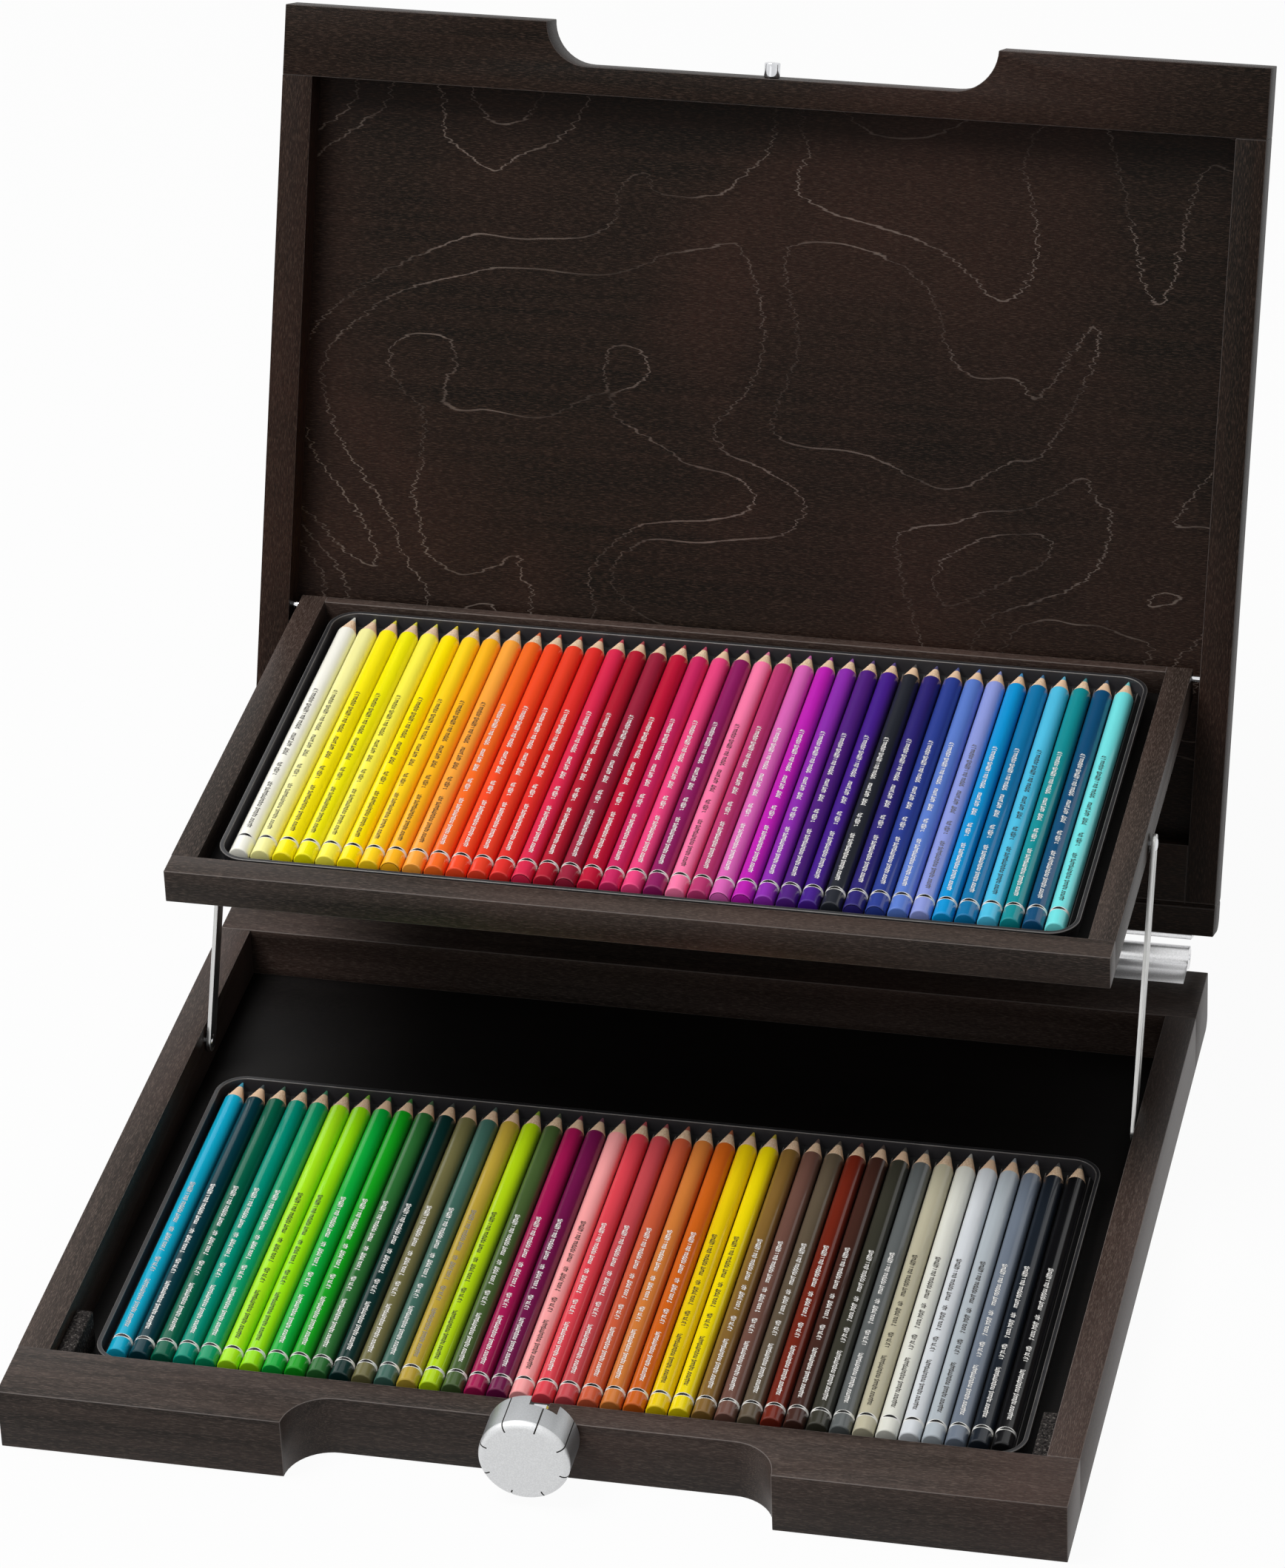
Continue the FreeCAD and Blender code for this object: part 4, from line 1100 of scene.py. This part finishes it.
@dataclass
class PencilRow:
    """A row of pencils, built as one piece for each packed run."""

    finishes: Finishes
    tray: str
    body: str
    runs: dict[str, list[str]]
    sway: float = 0.3 * MM
    roll: float = math.radians(5.0)

    def build(self) -> None:
        """Make the row's runs."""
        total = 0
        for word, colours in self.runs.items():
            node = f"{self.tray}_pencils_{word}"
            low, high = (Vector(point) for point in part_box(node))
            width = high.z - low.z
            pitch = (high.x - low.x - width) / (len(colours) - 1)
            template = Pencil(length=high.y - low.y, width=width).template()
            piece = Piece(f"{node}_dressed", self.finishes, [f"{self.tray}_lacquer", "cedar", "lead"])
            for place, code in enumerate(colours):
                total += 1
                start = Vector((low.x + width / 2 + place * pitch, low.y, (low.z + high.z) / 2))
                self.add_pencil(piece.mesh, template, start, srgb(code), total)
            piece.finish(self.body, f"paint_{word}", (node,), smooth=24.0)
        LOG.info("%s row: %d pencils", self.tray, total)

    def add_pencil(self, mesh: bmesh.types.BMesh, template: bpy.types.Mesh, start: Vector, colour: Colour,
                   number: int) -> None:
        """Add one pencil, with its own colour, and rolled a little.

        Args:
            mesh: the run's mesh.
            template: the pencil's mesh.
            start: the butt's centre.
            colour: its linear colour.
            number: its number in the row, which sets its small turn.
        """
        old_faces = set(mesh.faces)
        old_verts = set(mesh.verts)
        mesh.from_mesh(template)
        verts = [vert for vert in mesh.verts if vert not in old_verts]
        faces = [face for face in mesh.faces if face not in old_faces]
        paint = mesh.loops.layers.float_color.get("paint") or mesh.loops.layers.float_color.new("paint")
        swing = math.sin(number * 2.4) * self.roll
        slip = (1.0 + math.sin(number * 5.1)) * self.sway / 2
        bmesh.ops.rotate(mesh, verts=verts, cent=(0, 0, 0), matrix=Matrix.Rotation(swing, 3, "Y"))
        bmesh.ops.translate(mesh, verts=verts, vec=start + Vector((0, slip, 0)))
        for face in faces:
            for loop in face.loops:
                loop[paint] = colour


@dataclass
class Latch:
    """The latch: a cup with a notched wall and index marks, its shaft and nut, and the lid's pin."""

    finishes: Finishes
    nodes: dict
    steps: int = 128
    wall: float = 1.8 * MM
    face: float = 2.5 * MM
    shoulder: float = 2.4 * MM
    hub: float = 5.5 * MM
    bore: float = 2.5 * MM
    seat: float = 11.0 * MM
    rim_gap: float = 1.0 * MM
    notch_width: float = 10.5 * MM
    notch_depth: float = 5.2 * MM
    notch_angle: float = math.radians(19.0)
    mark_count: int = 8
    mark_reach: float = 3.0 * MM
    mark_width: float = 0.55 * MM
    mark_depth: float = 0.4 * MM

    def build(self) -> None:
        """Make the latch's pieces."""
        self.cup()
        self.pin()
        for node in ("latch_shaft", "latch_nut"):
            self.nodes[node].material_slots[0].material = self.finishes.get("polished_steel")

    def cup(self) -> None:
        """Make the cup."""
        low, high = (Vector(point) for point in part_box("latch_knob"))
        radius = (high.x - low.x) / 2
        rear = high.y - self.rim_gap
        length = rear - low.y
        centre = middle("latch_knob")
        inner = radius - self.wall
        rounding = [(length - self.shoulder * (1 - math.sin(step)),
                     radius - self.shoulder * (1 - math.cos(step)))
                    for step in (math.radians(angle) for angle in range(0, 91, 10))]
        profile = [(-self.rim_gap, self.bore), (-self.rim_gap, self.hub), (length - self.face, self.hub),
                   (length - self.face, inner), (0.25 * MM, inner), (0.0, inner + 0.25 * MM),
                   (0.0, radius - 0.3 * MM), (0.3 * MM, radius)] + rounding
        profile += [(length, 0.0)]
        profile = profile + [(self.seat, 0.0), (self.seat, self.bore), (-self.rim_gap, self.bore)]
        piece = Piece("latch_knob_dressed", self.finishes,
                      ["blasted_aluminium", "groove_shadow", "shaded_side_aluminium"])
        axis = Matrix.Translation((centre.x, rear, centre.z)) @ Matrix.Rotation(math.radians(90.0), 4, "X")
        lathe(piece.mesh, self.clean(profile), Matrix.Identity(4), self.steps)
        piece.mesh.normal_update()
        # The outer side faces take the darker aluminium: painted shade on the knob's side.
        for face in piece.mesh.faces:
            if abs(face.normal.z) < 0.05 and face.calc_center_median().xy.length > inner:
                face.material_index = 2
        self.cut_marks(piece, radius, length, inner)
        bmesh.ops.transform(piece.mesh, matrix=axis, verts=piece.mesh.verts[:])
        piece.finish("latch", "knob_metal", ("latch_knob",), smooth=38.0)

    def clean(self, profile: list[tuple[float, float]]) -> list[tuple[float, float]]:
        """Leave out points of a profile that repeat the one before.

        Args:
            profile: the points.

        Returns:
            The points without repeats.
        """
        kept = [profile[0]]
        for point in profile[1:]:
            if math.dist(point, kept[-1]) > 1e-6:
                kept.append(point)
        return kept

    def cut_marks(self, piece: Piece, radius: float, length: float, inner: float) -> None:
        """Cut the notch and the index marks out of the cup, which stands along +Z.

        Args:
            piece: the cup.
            radius: its outer radius.
            length: its length.
            inner: its inner radius.
        """
        cutter = bmesh.new()
        notch = bmesh.ops.create_cube(cutter, size=1.0)["verts"]
        bmesh.ops.scale(cutter, verts=notch, vec=(self.notch_width, self.wall * 4, self.notch_depth * 2))
        bmesh.ops.translate(cutter, verts=notch, vec=(0, inner + self.wall, 0))
        notch_turn = Matrix.Rotation(-self.notch_angle, 3, "Z")
        bmesh.ops.rotate(cutter, verts=notch, cent=(0, 0, 0), matrix=notch_turn)
        for number in range(self.mark_count):
            turn = Matrix.Rotation(-self.notch_angle - number * math.tau / self.mark_count, 3, "Z")
            for size, place, tilt in self.mark_boxes(radius, length):
                mark = bmesh.ops.create_cube(cutter, size=1.0)["verts"]
                bmesh.ops.scale(cutter, verts=mark, vec=(self.mark_width, size[0], size[1]))
                bmesh.ops.rotate(cutter, verts=mark, cent=(0, 0, 0), matrix=Matrix.Rotation(tilt, 3, "X"))
                bmesh.ops.translate(cutter, verts=mark, vec=(0, place[0], place[1]))
                bmesh.ops.rotate(cutter, verts=mark, cent=(0, 0, 0), matrix=turn)
        cutter.faces.index_update()
        for face in cutter.faces:
            face.material_index = 0 if face.index < NOTCH_FACES else 1
        body_data = bpy.data.meshes.new("cup_blank")
        piece.mesh.to_mesh(body_data)
        cutter_data = bpy.data.meshes.new("cup_cutter")
        cutter.to_mesh(cutter_data)
        cutter.free()
        body = bpy.data.objects.new("cup_blank", body_data)
        tool = bpy.data.objects.new("cup_cutter", cutter_data)
        for thing in (body, tool):
            bpy.context.scene.collection.objects.link(thing)
            for finish in piece.slots:
                thing.data.materials.append(self.finishes.get(finish))
        cut = body.modifiers.new("cut", "BOOLEAN")
        cut.object = tool
        cut.operation = "DIFFERENCE"
        cut.solver = "EXACT"
        cut.use_self = True
        ready = body.evaluated_get(bpy.context.evaluated_depsgraph_get())
        result = bpy.data.meshes.new_from_object(ready)
        piece.mesh.clear()
        piece.mesh.from_mesh(result)
        for thing in (body, tool):
            bpy.data.objects.remove(thing)

    def mark_boxes(self, radius: float, length: float) -> list[tuple]:
        """List the boxes that cut one index groove: along the wall, over the shoulder and onto the face.

        Args:
            radius: the cup's outer radius.
            length: its length.

        Returns:
            For each box its size and place, both outwards and along the axis, and its tilt.
        """
        deep = self.mark_depth
        block = 2.0 * MM
        wall = ((block, length), (radius - deep + block / 2, length / 2 - self.shoulder / 2 + 0.6 * MM), 0.0)
        face = ((self.mark_reach, block), (radius - self.mark_reach / 2, length - deep + block / 2), 0.0)
        corner = self.shoulder - deep + block / 2
        bend = ((2.4 * MM, block), (radius - self.shoulder + corner * math.sin(math.radians(45.0)),
                                    length - self.shoulder + corner * math.cos(math.radians(45.0))),
                math.radians(-45.0))
        return [wall, face, bend]

    def pin(self) -> None:
        """Make the lid's pin with a softened end, along its own axis in the open lid."""
        piece = Piece("latch_pin_dressed", self.finishes, ["polished_steel"])
        piece.take(self.nodes["latch_pin"])
        piece.soften(0.5 * MM, 3)
        piece.finish("lid", "pin_steel", ("latch_pin",), smooth=40.0)


@dataclass
class Pads:
    """The two foam blocks that carry the closed tray's front corners."""

    finishes: Finishes
    nodes: dict
    edge: float = 0.7 * MM

    def build(self) -> None:
        """Make the blocks."""
        piece = Piece("corner_pads_dressed", self.finishes, ["foam"])
        piece.take(self.nodes["corner_pads"])
        piece.soften(self.edge, 3)
        piece.finish("base", "foam", ("corner_pads",))


# ---------------------------------------------------------------- stage

@dataclass
class Stage:
    """The floor, the lamps, the world and the camera."""

    position: tuple[float, float, float] = (0.4913, -1.98957, 1.487583)
    yaw: float = 0.236293
    pitch: float = -0.562618
    roll: float = -0.040083
    focal_pixels: float = 9136.695
    floor_glow: float = 0.96
    world_light: float = 0.20
    image_height: int = 2119
    sensor: float = 36.0

    def build(self) -> None:
        """Make the stage."""
        self.camera()
        self.floor()
        self.lamps()
        self.world()

    def camera(self) -> None:
        """Place the camera."""
        data = bpy.data.cameras.new("camera")
        data.sensor_fit = "AUTO"
        data.sensor_width = self.sensor
        data.lens = self.focal_pixels * self.sensor / self.image_height
        data.clip_end = 30.0
        forward = Vector((-math.sin(self.yaw) * math.cos(self.pitch),
                          math.cos(self.yaw) * math.cos(self.pitch), math.sin(self.pitch)))
        right = forward.cross(Vector((0, 0, 1))).normalized()
        up = right.cross(forward)
        across = right * math.cos(self.roll) + up * math.sin(self.roll)
        upward = up * math.cos(self.roll) - right * math.sin(self.roll)
        turn = Matrix((across, upward, -forward)).transposed()
        thing = bpy.data.objects.new("camera", data)
        thing.matrix_world = Matrix.Translation(self.position) @ turn.to_4x4()
        bpy.context.scene.collection.objects.link(thing)
        bpy.context.scene.camera = thing

    def floor(self) -> None:
        """Make the pale floor, which keeps the object's soft shadow."""
        mesh = bmesh.new()
        bmesh.ops.create_grid(mesh, x_segments=1, y_segments=1, size=12.0)
        data = bpy.data.meshes.new("floor")
        mesh.to_mesh(data)
        mesh.free()
        graph = ShaderGraph("floor_white")
        lit = graph.add("BsdfDiffuse", Color=(0.5, 0.5, 0.5, 1.0))
        glow = graph.add("Emission", Color=(1.0, 1.0, 1.0, 1.0), Strength=1.0)
        seen = graph.add("LightPath")
        direct = graph.math("MAXIMUM", seen.outputs["Is Camera Ray"], seen.outputs["Is Glossy Ray"])
        shown = graph.math("MAXIMUM", direct, seen.outputs["Is Transmission Ray"])
        share = graph.math("MULTIPLY", shown, self.floor_glow)
        both = graph.tree.nodes.new("ShaderNodeMixShader")
        graph.feed(both.inputs[0], share)
        graph.feed(both.inputs[1], lit.outputs[0])
        graph.feed(both.inputs[2], glow.outputs[0])
        output = graph.add("OutputMaterial")
        graph.feed(output.inputs["Surface"], both.outputs[0])
        data.materials.append(graph.material)
        thing = bpy.data.objects.new("floor", data)
        thing.location.z = -0.0003
        bpy.context.scene.collection.objects.link(thing)

    def lamps(self) -> None:
        """Place the soft lamps."""
        settings = [
            ("key", (-1.0, -0.35, 2.3), 1.2, 66.0),
            ("front", (-0.9, -3.2, 1.3), 1.8, 4.0),
        ]
        for name, place, size, power in settings:
            data = bpy.data.lights.new(name, "AREA")
            data.shape = "SQUARE"
            data.size = size
            data.energy = power
            thing = bpy.data.objects.new(name, data)
            aim = Vector((0, 0, 0.1)) - Vector(place)
            thing.matrix_world = Matrix.Translation(place) @ aim.to_track_quat("-Z", "Y").to_matrix().to_4x4()
            bpy.context.scene.collection.objects.link(thing)

    def world(self) -> None:
        """Make the plain pale world."""
        world = bpy.data.worlds.new("world")
        bpy.context.scene.world = world
        world.use_nodes = True
        tree = world.node_tree
        tree.nodes.clear()
        seen = tree.nodes.new("ShaderNodeLightPath")
        direct = tree.nodes.new("ShaderNodeMath")
        direct.operation = "MAXIMUM"
        tree.links.new(seen.outputs["Is Camera Ray"], direct.inputs[0])
        tree.links.new(seen.outputs["Is Glossy Ray"], direct.inputs[1])
        through = tree.nodes.new("ShaderNodeMath")
        through.operation = "MAXIMUM"
        tree.links.new(direct.outputs[0], through.inputs[0])
        tree.links.new(seen.outputs["Is Transmission Ray"], through.inputs[1])
        strength = tree.nodes.new("ShaderNodeMapRange")
        strength.inputs["To Min"].default_value = self.world_light
        strength.inputs["To Max"].default_value = 1.0
        tree.links.new(through.outputs[0], strength.inputs["Value"])
        sky = tree.nodes.new("ShaderNodeBackground")
        sky.inputs["Color"].default_value = (1.0, 1.0, 1.0, 1.0)
        tree.links.new(strength.outputs[0], sky.inputs["Strength"])
        output = tree.nodes.new("ShaderNodeOutputWorld")
        tree.links.new(sky.outputs[0], output.inputs["Surface"])


UPPER = {
    "yellow": ["F4F2E6", "F5F0A0", "FCEB10", "F2EA08", "FBEF4A", "FFE400", "FFD21C"],
    "orange": ["FBB51E", "FAA43C", "F26A22", "F04A23", "E63F26", "DE2F2A"],
    "red": ["D9284D", "B01A30", "97203A", "BE1638", "C9265F"],
    "pink": ["E9447F", "8C1C5E", "FA7BA8", "B8386F", "D964B5", "BB1FB0"],
    "violet": ["8B2BAA", "4E1F7A", "451E88", "23262E", "2C2470", "2C3F90"],
    "blue": ["5B7CCB", "8E9BDC", "0A93D3", "0E74A8", "4FBFE3", "118C93", "0D4A72", "74E3E4"],
}
LOWER = {
    "green": ["0FA5C6", "04333C", "045C44", "008C74", "0A9464", "A5E31A", "95DC10", "0CA53A", "149A1E"],
    "olive": ["2A6630", "0A2B28", "6A6640", "3E6358", "B59A38", "AFD112", "43592F"],
    "rose": ["A0174F", "6B1446", "F5A0A0", "DB4450", "C2484E", "C75A3A"],
    "gold": ["CC7836", "C9601A", "E8C80C", "EDD60A", "80602E"],
    "brown": ["6B4A40", "5C5040", "6E2416", "40261F", "36352C", "5E6262"],
    "grey": ["BBB59C", "DEDED4", "D4D8DC", "B0B8BE", "6E7886", "1A2028", "0C0C0E"],
}


def main() -> None:
    """Build the scene."""
    logging.basicConfig(level=logging.INFO, format="%(message)s")
    bpy.context.scene.view_settings.view_transform = "Standard"
    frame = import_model()
    nodes = frame["nodes"]
    finishes = Finishes()
    parts = [
        Woodwork(finishes, nodes),
        Hinge(finishes, nodes),
        Linkage(finishes, nodes),
        Tin(finishes, nodes, "lower", "base"),
        Tin(finishes, nodes, "upper", "tray"),
        PencilRow(finishes, "upper", "tray", UPPER),
        PencilRow(finishes, "lower", "base", LOWER),
        Latch(finishes, nodes),
        Pads(finishes, nodes),
        Stage(),
    ]
    for part in parts:
        part.build()


if __name__ == "__main__":
    main()
